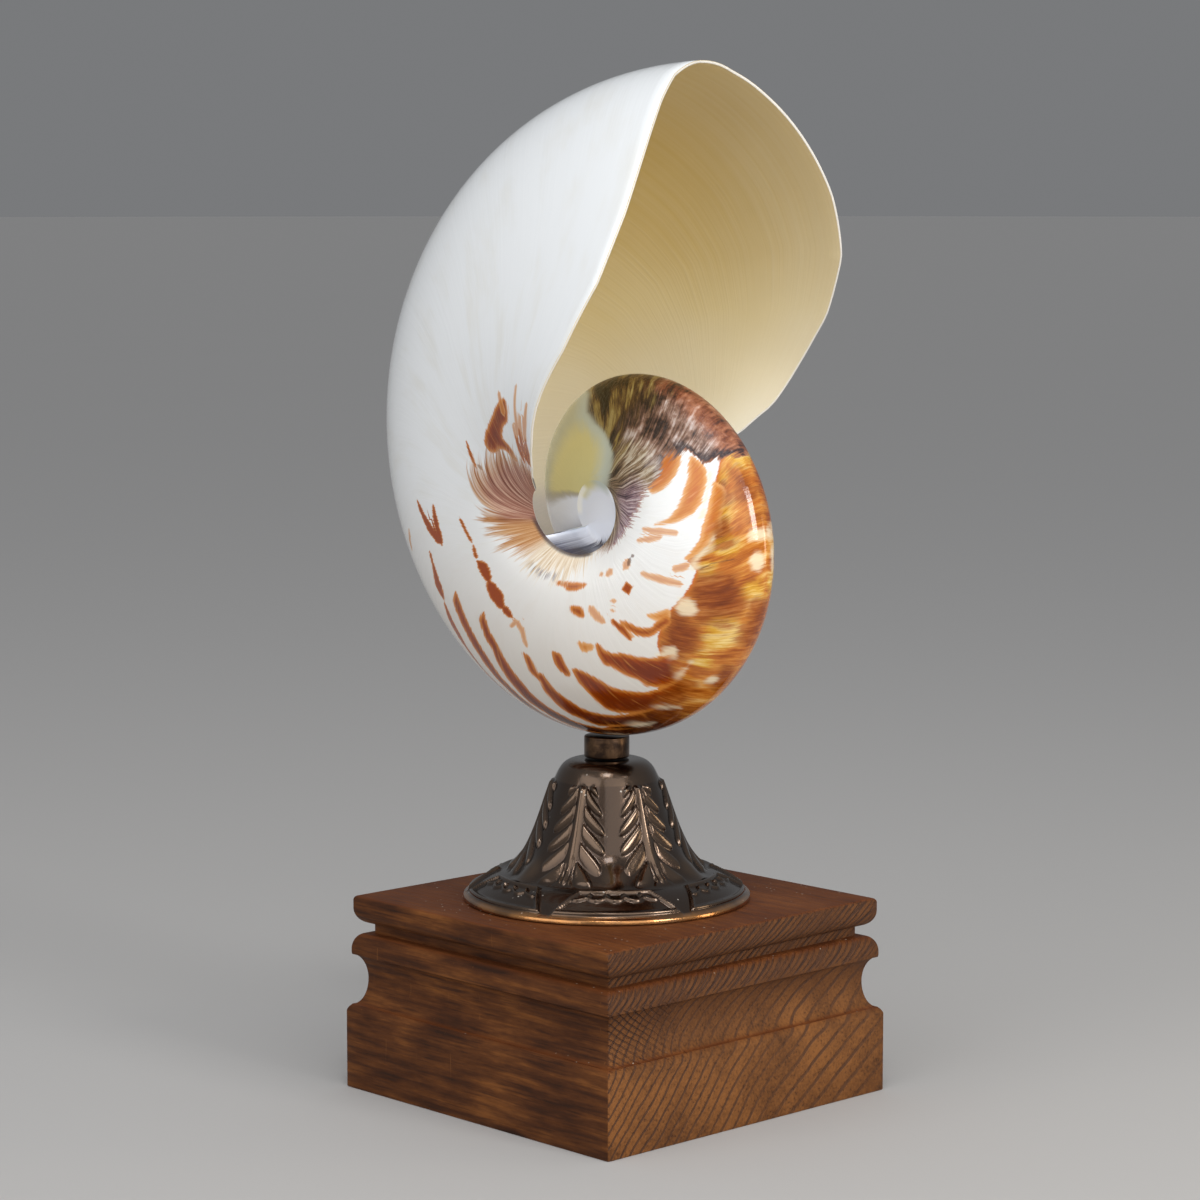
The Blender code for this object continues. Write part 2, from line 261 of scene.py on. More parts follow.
class Recipe(Wiring):
    """One material, written as sums of channels that end in a Principled shader."""

    def __init__(self, name: str) -> None:
        """Start an empty material."""
        self.material = bpy.data.materials.new(name)
        self.material.use_nodes = True
        super().__init__(self.material.node_tree)
        self.shader = self.add("ShaderNodeBsdfPrincipled")
        self.add("ShaderNodeOutputMaterial", None, {"Surface": self.shader.outputs[0]})

    def attribute(self, name: str) -> Channel:
        """A field that the mesh carries on its points."""
        node = self.add("ShaderNodeAttribute", {"attribute_name": name})
        return Channel(self, node.outputs["Fac"])

    def where(self) -> Channel:
        """The place on the piece in metres."""
        return Channel(self, self.add("ShaderNodeTexCoord").outputs["Object"])

    def facing(self) -> Channel:
        """The way the surface faces, on the piece's own axes."""
        return Channel(self, self.add("ShaderNodeTexCoord").outputs["Normal"])

    def axes(self, vector: Channel) -> Tuple[Channel, Channel, Channel]:
        """The three parts of a vector."""
        node = self.add("ShaderNodeSeparateXYZ", None, {0: vector})
        return tuple(Channel(self, node.outputs[k]) for k in range(3))

    def vector(self, x: Amount, y: Amount, z: Amount) -> Channel:
        """A vector from its three parts."""
        node = self.add("ShaderNodeCombineXYZ", None, {0: x, 1: y, 2: z})
        return Channel(self, node.outputs[0])

    def stretch(self, vector: Channel, by: Tuple[float, float, float]) -> Channel:
        """A vector with each part multiplied."""
        node = self.add("ShaderNodeVectorMath", {"operation": "MULTIPLY"}, {0: vector, 1: by})
        return Channel(self, node.outputs[0])

    def noise(self, place: Channel, scale: Union[float, Tuple[float, float, float]],
              detail: float, roughness: float) -> Channel:
        """Soft noise about 0.5.

        Args:
            place: Where it is read.
            scale: How fine it is, in one number or along each axis.
            detail: How many finer layers lie over it.
            roughness: How strong the finer layers are.

        Returns:
            The noise.
        """
        if isinstance(scale, tuple):
            place, scale = self.stretch(place, scale), 1.0
        node = self.add("ShaderNodeTexNoise", None, {"Vector": place, "Scale": scale,
                                                     "Detail": detail, "Roughness": roughness})
        return Channel(self, node.outputs["Fac"])

    def streaks(self, layout: Tuple[float, float, float], detail: float, roughness: float,
                across: Optional[Channel] = None, along: Optional[Channel] = None) -> Channel:
        """Noise about 0.5, drawn out into streaks.

        Args:
            layout: How fine it is across and along the streaks, and a seed.
            detail: How many finer layers lie over it.
            roughness: How strong the finer layers are.
            across: What tells one streak from the next; the growth line where it isn't given.
            along: What the streaks run along; the way across the flank where it isn't given.

        Returns:
            The noise.
        """
        across = self.attribute("line") if across is None else across
        along = self.attribute("span") if along is None else along
        place = self.vector(across * layout[0], along * layout[1], layout[2])
        return self.noise(place, 1.0, detail, roughness)

    def cells(self, place: Channel, scale: float) -> Channel:
        """Distance from the middle of the nearest cell of a pattern."""
        node = self.add("ShaderNodeTexVoronoi", None, {"Vector": place, "Scale": scale})
        return Channel(self, node.outputs["Distance"])

    def mix(self, share: Amount, first: Tint, second: Tint) -> Channel:
        """Two colours mixed, with this share of the second."""
        node = self.add("ShaderNodeMix", {"data_type": "RGBA"}, {0: share, 6: first, 7: second})
        return Channel(self, node.outputs[2])

    def layers(self, colour: Tint, *coats: Tuple[Amount, Tint]) -> Tint:
        """Colours laid over one another.

        Args:
            colour: The lowest colour.
            coats: The share and the colour of each coat over it, from below upwards.

        Returns:
            The colour on top.
        """
        for share, tint in coats:
            colour = self.mix(share, colour, tint)
        return colour

    def ramp(self, share: Amount, stops: Stops) -> Channel:
        """A colour looked up along a ramp."""
        node = self.add("ShaderNodeValToRGB", {"stops": stops}, {0: share})
        return Channel(self, node.outputs[0])

    def bump(self, height: Channel, depth: float, over: Optional[Channel] = None) -> Channel:
        """A surface normal tilted by a height.

        Args:
            height: The height, 1 for the full depth.
            depth: The depth in metres.
            over: A normal that it is added to.

        Returns:
            The normal.
        """
        inputs = {"Strength": 1.0, "Distance": depth, "Height": height}
        if over is not None:
            inputs["Normal"] = over
        return Channel(self, self.add("ShaderNodeBump", None, inputs).outputs[0])

    def dress(self, inputs: Dict[str, object]) -> bpy.types.Material:
        """Set the Principled shader's sockets and hand over the material."""
        self.feed(self.shader, inputs)
        return self.material


class Surface:
    """Gathers the points, faces and point fields of one piece."""

    def __init__(self, fields: Sequence[str] = ()) -> None:
        """Start with nothing, and with these fields on every point."""
        self.blocks: List[np.ndarray] = []
        self.count = 0
        self.faces: List[Tuple[int, ...]] = []
        self.slots: List[int] = []
        self.fields: Dict[str, List[np.ndarray]] = {name: [] for name in fields}

    def add(self, grid: np.ndarray, fields: Optional[Dict[str, np.ndarray]] = None) -> np.ndarray:
        """Add an array of points.

        Args:
            grid: The points, in any arrangement.
            fields: The points' fields in the same arrangement; those not given are 0.

        Returns:
            The points' numbers in the same arrangement.
        """
        grid = np.asarray(grid, dtype=float)
        block = grid.reshape(-1, 3)
        self.blocks.append(block)
        for name, values in self.fields.items():
            given = (fields or {}).get(name)
            values.append(np.zeros(len(block)) if given is None
                          else np.asarray(given, dtype=float).reshape(-1))
        numbers = np.arange(self.count, self.count + len(block))
        self.count += len(block)
        return numbers.reshape(grid.shape[:-1])

    def points(self) -> np.ndarray:
        """Every point so far."""
        return np.vstack(self.blocks)

    def face(self, slot: int, *corners: int) -> None:
        """Add a face, dropping corners that repeat."""
        kept = list(dict.fromkeys(int(c) for c in corners))
        if len(kept) > 2:
            self.faces.append(tuple(kept))
            self.slots.append(slot)

    def sheet(self, grid: np.ndarray, slot: int = 0) -> None:
        """Quads over a whole grid of point numbers."""
        quads = np.stack([grid[:-1, :-1], grid[:-1, 1:], grid[1:, 1:], grid[1:, :-1]], axis=-1)
        for quad in quads.reshape(-1, 4).tolist():
            self.faces.append(tuple(quad))
            self.slots.append(slot)

    def fan(self, ring: Sequence[int], centre: int, slot: int = 0) -> None:
        """Triangles from a ring to one point."""
        for first, second in zip(ring[:-1], ring[1:]):
            self.face(slot, first, second, centre)

    def stack(self, rings: np.ndarray) -> None:
        """Faces over a stack of closed rings of point numbers, with a cap at each end."""
        self.sheet(np.hstack([rings, rings[:, :1]]))
        self.face(0, *rings[0])
        self.face(0, *rings[-1])

    def seam(self, first: np.ndarray, second: np.ndarray, slot: int = 0) -> None:
        """Triangles between two edges that run alike but have unlike numbers of points."""
        points = self.points()
        shares = [shares_along(points[edge]) for edge in (first, second)]
        i, j = 0, 0
        while i < len(first) - 1 or j < len(second) - 1:
            ahead = j == len(second) - 1 or (i < len(first) - 1
                                             and shares[0][i + 1] <= shares[1][j + 1])
            if ahead:
                self.face(slot, first[i], first[i + 1], second[j])
                i += 1
            else:
                self.face(slot, first[i], second[j + 1], second[j])
                j += 1

    def make(self, name: str, materials: Sequence[bpy.types.Material],
             crease: float = 40.0) -> bpy.types.Object:
        """Turn what was gathered into one smooth-shaded object.

        Args:
            name: The piece's name.
            materials: One material for each slot.
            crease: Angle in degrees above which an edge stays sharp.

        Returns:
            The new object.
        """
        mesh = bpy.data.meshes.new(name)
        mesh.from_pydata(self.points().tolist(), [], self.faces)
        mesh.polygons.foreach_set("material_index", self.slots)
        work = bmesh.new()
        work.from_mesh(mesh)
        bmesh.ops.recalc_face_normals(work, faces=work.faces)
        work.to_mesh(mesh)
        work.free()
        for label, blocks in self.fields.items():
            layer = mesh.attributes.new(label, "FLOAT", "POINT")
            layer.data.foreach_set("value", np.concatenate(blocks).astype(np.float32))
        mesh.shade_smooth()
        mesh.set_sharp_from_angle(angle=math.radians(crease))
        for material in materials:
            mesh.materials.append(material)
        item = bpy.data.objects.new(name, mesh)
        bpy.context.scene.collection.objects.link(item)
        return item


def report(piece: bpy.types.Object) -> None:
    """Log how many triangles a piece has."""
    triangles = sum(len(p.vertices) - 2 for p in piece.data.polygons)
    LOG.info("%s: %d triangles", piece.name, triangles)


# Marks of the near flank. A patch is an outline of (bearing, fraction); a mark is a brush stroke of
# (bearing, fraction, half-width in millimetres).

FLAMES: Tuple[Outline, ...] = (
    ((207.5, .505), (210, .49), (217, .435), (223, .385), (228, .34), (233, .275), (237, .235),
     (240.5, .20), (244, .165), (248, .13), (256, .085), (268, .045), (266, .0), (255, .035),
     (251.5, .065), (247, .10), (242, .13), (238.5, .155), (235, .195), (230.5, .235),
     (225, .295), (220, .345), (214, .40), (209.5, .44)),
    ((220.5, .565), (221.5, .55), (226, .50), (230, .47), (233.5, .425), (238, .37),
     (241.5, .33), (245, .28), (249.5, .235), (253.5, .205), (258.5, .165), (266, .135),
     (276, .115), (274, .055), (264, .07), (257, .095), (252, .13), (247, .175), (242, .21),
     (238.5, .265), (235, .31), (231, .375), (229, .42), (226, .44), (222, .49), (220.5, .51)),
    ((241.5, .51), (245, .50), (248.5, .425), (250, .44), (253, .39), (256, .345), (260, .305),
     (263, .27), (267, .245), (273, .22), (282, .205), (282, .13), (273, .145), (264, .165),
     (260, .21), (256.5, .235), (254, .27), (252, .305), (250, .345), (249, .39), (247, .405),
     (245, .425), (243, .475)),
    ((255.5, .565), (259.5, .56), (261, .51), (263, .465), (261.5, .45), (258, .48),
     (256.5, .51)),
    ((264, .49), (266.5, .49), (273, .44), (278, .37), (283.5, .325), (288, .285), (294, .26),
     (302, .235), (302, .15), (292, .175), (284, .19), (279, .215), (276, .23), (271.5, .265),
     (270, .31), (268, .37), (265.5, .425)),
    ((279, .59), (281, .585), (282, .55), (285, .525), (290, .50), (297, .425), (301, .39),
     (308, .33), (308, .25), (298, .235), (295, .265), (290.5, .31), (289.5, .355), (285.5, .415),
     (282, .475), (279.5, .49), (278.5, .535)),
    ((297.5, .64), (300.5, .605), (304, .545), (308.5, .505), (313, .50), (318, .475),
     (316, .44), (310, .47), (305, .485), (301, .53), (298, .585)),
    ((268, .775), (271, .775), (276, .765), (277, .725), (274, .725), (268.5, .75)),
    ((89, .782), (94, .785), (100, .795), (104, .805), (112, .815), (118, .82), (125, .83),
     (125, .857), (120, .868), (113, .872), (108, .885), (107, .905), (103, .925), (100, .90),
     (102, .875), (105, .862), (102, .848), (97, .836), (91, .832), (89, .81)),
    ((254, .875), (262, .88), (275, .872), (284, .86), (276, .845), (266, .843), (262, .86),
     (254, .865)),
)
AMBER_FLAMES: Tuple[Outline, ...] = (
    ((396, .42), (393, .375), (390.5, .385), (387, .43), (384, .47), (380.5, .54), (379, .615),
     (379, .665), (383, .68), (390, .62), (393, .55), (397, .48)),
    ((389, .32), (383, .275), (377, .295), (373, .335), (368.5, .375), (364.5, .425),
     (362.5, .49), (360, .585), (358.7, .69), (361, .60), (365, .545), (370, .49), (374.5, .455),
     (380, .40), (386, .36)),
    ((269, .62), (278, .59), (277, .575), (271.5, .565)),
    ((311, .565), (315, .53), (321, .485), (318, .46), (313, .50)),
    ((376, .255), (371, .295), (365.5, .33), (362, .355), (358.5, .38), (354, .39), (350, .425),
     (344, .48), (346, .44), (352, .36), (356, .325), (357, .27), (362, .27), (366, .24),
     (372, .20)),
)
AMBER_EDGE: Outline = (
    (386, -.4), (386, .10), (383, .17), (381, .19), (375, .26), (371, .30), (365.5, .335),
    (362, .36), (358.5, .385), (354, .40), (350, .43), (346, .455), (343.5, .475), (341, .41),
    (337, .42), (333, .43), (328, .45), (322, .475), (318.5, .49), (315, .50), (311, .47),
    (308, .46), (304.5, .43), (302, .36), (298, .29), (291, .265), (284, .245), (277, .215),
    (270, .17), (264, .13), (259, .075), (252, .03), (247, -.08), (255, -.4))
SOFT_RUST: Tuple[Outline, ...] = (
    ((338, .40), (342, .33), (344, .24), (343, .16), (338, .11), (331, .12), (327, .19),
     (323, .27), (321, .36), (325, .36), (329, .40), (331, .44)),
    ((322, .47), (323, .36), (322, .29), (316, .26), (309, .29), (305, .36), (305.5, .41),
     (310, .45), (316, .48)),
    ((366, .33), (371, .31), (376, .26), (377, .21), (373, .17), (369, .19), (366, .25),
     (362, .31)),
    ((360, .37), (364, .30), (362, .24), (357, .20), (353, .24), (352, .30), (354, .36)),
    ((354, .42), (355, .37), (351, .36), (347, .41), (344, .47), (348, .45)),
    ((378, .14), (377, .04), (370, .00), (366, .04), (366, .12), (371, .16)),
    ((363, .10), (363, .01), (360, .0), (359, .06), (359.5, .12)),
    ((336, .07), (335, -.05), (325, -.06), (318, .02), (322, .06), (330, .08)),
    ((300, .28), (303, .20), (300, .14), (293, .13), (288, .18), (291, .25), (296, .28)),
    ((258, .03), (262, .10), (273, .18), (284, .22), (290, .20), (294, .12), (288, .03),
     (278, -.06), (266, -.06)),
    ((314, .10), (313, .02), (305, .0), (302, .04), (306, .10)),
)
# Pale cream gaps in the amber; beside the keel's strip highlight they are partly painted
# reflection.
PALE_GAPS_AND_GLINTS: Tuple[Outline, ...] = (
    ((301, .40), (306, .39), (310, .365), (308.5, .33), (304, .32), (301.5, .35)),
    ((299.5, .275), (304, .27), (309.5, .245), (305, .235), (300, .245)),
    ((322.5, .46), (327, .46), (329.5, .41), (328.5, .365), (324, .36), (322, .41)),
    ((343, .465), (346, .435), (353, .35), (356.5, .315), (353, .315), (349.5, .36),
     (341.5, .41), (341, .43)),
    ((354, .12), (358, .12), (358.5, .0), (354.5, -.01)),
    ((345, .11), (349, .12), (351, .09), (351, .04), (346, .02), (344, .06)),
    ((305.5, .13), (308.5, .125), (308.5, .085), (306, .09)),
    ((286, .215), (289.5, .205), (293.5, .13), (293, .10), (289, .155)),
    ((272, .18), (276, .165), (283, .11), (282, .095), (276, .125)),
    ((259, .115), (263, .10), (271, .062), (270, .05), (263, .078)),
    ((381, .24), (380, .285), (375, .31), (370, .345), (366, .375), (362, .39), (363, .365),
     (367, .34), (371, .31), (375, .275), (378, .235)),
)
GOLD_PATCHES: Tuple[Outline, ...] = (
    ((308, .24), (314, .24), (315, .17), (309, .15)),
    ((318, .28), (328, .27), (329, .15), (325, .10), (318, .14), (316, .22)),
    ((307, .52), (314, .515), (316, .47), (311, .455), (306, .48)),
    ((336, .16), (343, .16), (343, .02), (336, .0)),
    ((374, .30), (381, .28), (381, .16), (376, .16), (373, .22)),
    ((360, .28), (367, .27), (368, .20), (362, .20)),
    ((350, .35), (356, .33), (356, .20), (350, .17), (347, .25)),
    ((340, .40), (347, .39), (346, .30), (340, .31)),
    ((380, .12), (384, .10), (384, -.02), (378, .02)),
)
BRUSH_STROKES: Tuple[Mark, ...] = (
    ((208, .365, .6), (212, .315, 1.5), (216, .28, 1.5), (220, .245, .8), (226, .19, .8),
     (234, .13, .8)),
    ((293.5, .655, .6), (296, .60, .9), (297, .54, .6)),
    ((193, .47, .5), (197, .45, .7), (200, .43, 1.2), (203, .405, 1.9), (206, .385, 1.0)),
    ((176.5, .50, .4), (180, .512, 1.2), (185, .535, 1.7), (189.5, .565, 1.6)),
    ((177, .60, .5), (182, .59, 1.1), (186, .583, 1.3), (190, .575, 1.3)),
    ((203.5, .715, .8), (207, .72, 1.9), (211, .71, 1.5), (214, .70, .6)),
    ((214, .70, .8), (217, .69, 1.9), (221, .678, 2.4), (225, .66, 1.5), (227, .655, .9)),
    ((227.5, .655, .9), (229, .652, 1.3), (232, .645, .9)),
    ((195, .735, .4), (200, .72, .8)),
    ((181, .725, .5), (186, .73, .6), (192, .735, .6)),
    ((79, .850, .5), (80, .885, 1.1), (79, .925, .8)),
    ((72.5, .865, .5), (72.5, .90, 1.3), (74, .93, .7)),
    ((86, .865, .5), (87, .905, 1.2), (88, .93, .6)),
    ((313, .725, 1.6), (313.6, .722, 1.5)),
    ((136, .775, .4), (141, .80, .6), (145, .82, .5)),
)
GOLDEN_STROKES: Tuple[Mark, ...] = (
    ((94, .77, .7), (93, .81, 1.2)),
    ((338, .53, .8), (340, .49, 1.0), (342, .46, .7)),
    ((327, .70, .5), (330.5, .59, .9), (333, .475, .7)),
    ((355, .755, .5), (355, .64, .8), (355.5, .54, .6)),
    ((346, .78, .5), (350, .70, .8), (352, .64, .5)),
    ((234, .60, .5), (236, .635, .8), (239.5, .615, .9), (243, .55, .6)),
    ((282.5, .75, 1.0), (285, .71, 1.2), (288, .675, .8)),
    ((295, .62, .5), (299, .54, .5)),
    ((186, .35, .5), (189, .31, .8), (191, .29, .6)),
    ((80, .76, .4), (81, .80, .6), (81, .86, .9)), ((70.5, .79, .5), (71, .83, 1.0), (72, .87, .8)),
    ((76, .82, .4), (77, .87, .8)), ((85, .84, .5), (86, .87, 1.0)),
    ((306, .85, .7), (310, .85, .9)), ((323, .80, 1.0), (327, .80, 1.0)),
    ((300, .87, .5), (301, .87, .5)), ((299, .735, .4), (301, .725, .5)),
    ((296, .70, .4), (297, .69, .4)),
)
DARK_SPOTS: Tuple[Mark, ...] = (
    ((333, .79, .5), (334, .785, .4)), ((326, .79, .5), (330, .795, .5)),
    ((341, .40, .10), (345, .33, .16), (347, .25, .16), (348, .19, .10)),
    ((355, .31, .2), (355.5, .27, .15)), ((143, .83, .6), (143.5, .84, .5)),
)
# Edges of the worn film, of the bare nacre and of the fan, and how far the fan's hairs lean.
FILM_EDGE = ((.00, 382), (.11, 382), (.17, 383), (.25, 384), (.28, 385), (.29, 388), (.32, 392),
             (.49, 394), (.57, 387), (.67, 384), (.75, 377), (.77, 372), (.85, 360), (.89, 349),
             (.92, 336), (.95, 319), (1.0, 306))
NACRE_EDGE = ((.00, 470), (.18, 462), (.38, 459), (.52, 450), (.64, 436), (.74, 425), (.83, 420),
              (.98, 415), (1.0, 414))
FAN_EDGE = ((66, 1.05), (80, .94), (100, .90), (115, .87), (125, .85), (140, .83), (150, .80),
            (160, .79), (170, .81), (180, .82), (195, .84), (220, .86), (240, .86), (250, .87),
            (260, .89), (270, .91), (280, .93), (290, .96), (300, 1.0), (320, 1.10))
FAN_LEAN = ((100, 290), (110, 280), (120, 260), (135, 190), (150, 120), (165, 60), (180, 0),
            (300, 0))


class Face(Enum):
    """Which part of the shell's surface a slot dresses."""

    OUTSIDE = 0
    CHAMBER = 1
    PIT = 2


class Side(Enum):
    """A flank of the shell, with the sign of its width."""

    NEAR = 1.0
    FAR = -1.0


@dataclass(frozen=True)
class MarkedPlaces:
    """Where a set of the shell's points lie, for drawing marks on them.

    There are around millimetres to a degree of bearing, and across millimetres to the whole flank.
    Depths end at inner_reach and offsets at outer_reach, both in millimetres. An outline is
    measured only within its margin, in degrees and in shares of the flank.
    """

    bearing: np.ndarray
    fraction: np.ndarray
    around: np.ndarray
    across: np.ndarray
    inner_reach: float = 6.0
    outer_reach: float = 9.0
    stroke_edge: float = 1.6
    margin: Tuple[float, float] = (9.0, 0.09)

    def strokes(self, marks: Sequence[Mark]) -> Tuple[np.ndarray, np.ndarray]:
        """Measure every point against the nearest stroke.

        Args:
            marks: The strokes.

        Returns:
            The signed distance from the stroke's middle line and the stroke's half-width there,
            both in millimetres. Away from every stroke the half-width sinks below zero.
        """
        around, across = self.around, self.across
        best = np.full(self.bearing.shape, np.inf)
        offset, half = np.zeros(best.shape), np.zeros(best.shape)
        for mark in marks:
            last = len(mark) - 2
            for k in range(last + 1):
                (b0, f0, w0), (b1, f1, w1) = mark[k], mark[k + 1]
                px, py = (self.bearing - b0) * around, (self.fraction - f0) * across
                dx, dy = (b1 - b0) * around, (f1 - f0) * across
                length = np.hypot(dx, dy) + 1e-6
                along = (px * dx + py * dy) / length ** 2
                held = np.clip(along, 0.0, 1.0)
                distance = np.hypot(px - held * dx, py - held * dy)
                width = w0 + (w1 - w0) * held
                over = np.zeros_like(along)
                if k == 0:
                    over = np.maximum(-along, 0.0) * length
                if k == last:
                    over = np.maximum(over, np.maximum(along - 1.0, 0.0) * length)
                side = (px * dy - py * dx) / length
                reach = np.where(over > 0.0, np.abs(side), distance)
                near = distance - width
                taken = near < best
                best = np.where(taken, near, best)
                offset = np.where(taken, np.copysign(reach, side), offset)
                sunk = width - over - 2.0 * np.maximum(near - self.stroke_edge, 0.0)
                half = np.where(taken, np.maximum(sunk, -self.inner_reach), half)
        return np.clip(offset, -self.outer_reach, self.outer_reach), half

    def patches(self, outlines: Sequence[Outline]) -> np.ndarray:
        """How deep every point lies inside the patches, in millimetres, below zero outside."""
        deepest = np.full(self.bearing.shape, -self.inner_reach)
        for outline in outlines:
            corners = rounded(np.array(outline, dtype=float))
            low, high = corners.min(axis=0) - self.margin, corners.max(axis=0) + self.margin
            near = ((self.bearing > low[0]) & (self.bearing < high[0])
                    & (self.fraction > low[1]) & (self.fraction < high[1]))
            b, f = self.bearing[near], self.fraction[near]
            around, across = self.around[near], self.across[near]
            inside = np.zeros(b.shape, dtype=bool)
            distance = np.full(b.shape, self.inner_reach)
            for (b0, f0), (b1, f1) in zip(corners, np.roll(corners, -1, axis=0)):
                px, py = (b - b0) * around, (f - f0) * across
                dx, dy = (b1 - b0) * around, (f1 - f0) * across
                held = np.clip((px * dx + py * dy) / (dx * dx + dy * dy + 1e-9), 0.0, 1.0)
                distance = np.minimum(distance, np.hypot(px - held * dx, py - held * dy))
                if f0 != f1:
                    crossed = (f0 > f) != (f1 > f)
                    inside ^= crossed & (b < (b1 - b0) * (f - f0) / (f1 - f0) + b0)
            signed = np.where(inside, distance, -distance)
            deepest[near] = np.maximum(deepest[near], signed)
        return deepest


@dataclass
class ShellForm:
    """Sizes of the coiled shell, and the curves that follow from them."""

    centre: Tuple[float, float, float] = (0.0094, -0.0045, 0.1536)
    turn: float = math.radians(4.8)
    lean: float = math.radians(3.3)
    mouth_radius: float = 0.1211
    mouth_bearing: float = 67.5
    growth_rate: float = 0.165
    flare: float = 0.153
    flare_reach: float = 1.2
    broadening: float = 0.0243
    half_width: float = 0.410
    widest_at: float = 0.339
    axis_width: float = 0.671
    keel_handle: float = 0.481
    flank_handle: float = 0.472
    shoulder_handle: float = 0.587
    dip_handle: float = 0.464
    dip: float = math.radians(20.8)
    wall: float = 0.0016
    lip_wall: float = 0.0007
    pit_radius: float = 0.0090
    pit_floor: float = 0.0098
    pit_floor_tilt: float = 0.0018
    pit_tilt_bearing: float = 20.0
    pit_steepness: Tuple[float, float] = (4.0, 14.0)
    pit_steep_from: float = 1.5
    pit_steep_over: float = 5.0
    chamber_depth: float = 140.0
    lip_end: float = -35.0
    lip_sweep: float = 140.0
    lip_shape: Tuple[Tuple[float, float], ...] = (
        (0.0, -7.9), (0.09, -7.0), (0.17, -4.7), (0.28, -1.0), (0.41, 3.4), (0.54, 6.8),
        (0.67, 7.2), (0.78, 4.6), (0.87, 3.0), (0.94, -6.0), (1.0, -35.0))

    def section(self) -> np.ndarray:
        """Half of the whorl's section for a radius of 1, from the keel to the coil axis."""
        widest = (self.widest_at, self.half_width)
        over = self.widest_at + self.flank_handle * (1.0 - self.widest_at)
        flank = bezier((1.0, 0.0), (1.0, self.keel_handle * self.half_width),
                       (over, self.half_width), widest, 160)
        axis = (0.0, self.axis_width * self.half_width)
        rise = self.dip_handle * self.widest_at
        inner = (rise * math.cos(self.dip), axis[1] + rise * math.sin(self.dip))
        shoulder = bezier(widest, (self.shoulder_handle * self.widest_at, self.half_width),
                          inner, axis, 120)
        return np.vstack([flank, shoulder[1:]])

    def size(self, growth: float) -> float:
        """Distance from the coil axis to the keel at a growth angle in degrees."""
        turned = math.radians(growth)
        flare = self.flare * (math.exp(turned / self.flare_reach) - 1.0)
        return self.mouth_radius * math.exp(self.growth_rate * turned + flare)

    def curve(self, growth: float, inset: float, fractions: np.ndarray) -> np.ndarray:
        """The section at one growth angle, set in by a wall.

        Args:
            growth: The growth angle in degrees.
            inset: How far the curve lies inside the shell's outside.
            fractions: Shares of the way from the keel to the pit.

        Returns:
            Radius and width at each fraction, with the curve's whole length in a third column.
        """
        size = self.size(growth)
        curve = self.section() * (size, size * math.exp(self.broadening * math.radians(growth)))
        slope = np.gradient(curve, axis=0)
        curve = curve - inset * unit(np.column_stack([slope[:, 1], -slope[:, 0]]))
        curve[0, 1] = 0.0
        end_radius = self.pit_radius + inset
        end = (end_radius, np.interp(-end_radius, -curve[:, 0], curve[:, 1]))
        kept = np.vstack([curve[curve[:, 0] > end_radius], end])
        lengths = lengths_along(kept)
        reach = fractions * lengths[-1]
        return np.column_stack([np.interp(reach, lengths, kept[:, 0]),
                                np.interp(reach, lengths, kept[:, 1]),
                                np.full(len(fractions), lengths[-1])])

    def lip_ahead(self, fractions: np.ndarray) -> np.ndarray:
        """How far the lip runs ahead at each fraction, in degrees."""
        where, degrees = zip(*self.lip_shape)
        return np.interp(fractions, where, degrees)

    def axes(self) -> np.ndarray:
        """The shell's own axes in the model's frame, one in each column."""
        return np.array(Euler((self.lean, 0.0, self.turn)).to_matrix())

    def own(self, points: np.ndarray) -> np.ndarray:
        """Points of the model's frame on the shell's own axes."""
        return (points - np.array(self.centre)) @ self.axes()

    def width_of(self, points: np.ndarray) -> np.ndarray:
        """How far points lie towards the near flank."""
        return -self.own(points)[..., 1]

    def bearing_of(self, points: np.ndarray) -> np.ndarray:
        """Bearing of points round the coil axis, from 0 to 360 degrees."""
        own = self.own(points)
        return np.degrees(np.arctan2(own[..., 2], own[..., 0])) % 360.0

    def place(self, radius: np.ndarray, bearing: np.ndarray, width: np.ndarray) -> np.ndarray:
        """Points in the model's frame, from radius, bearing in degrees and width."""
        b = np.radians(bearing)
        own = np.stack([radius * np.cos(b), -width, radius * np.sin(b)], axis=-1)
        return own @ self.axes().T + np.array(self.centre)


PEARL_WHITE = linear(222, 227, 239)
YELLOW_NACRE = linear(208, 200, 142)
MILKY_NACRE = linear(184, 194, 188)


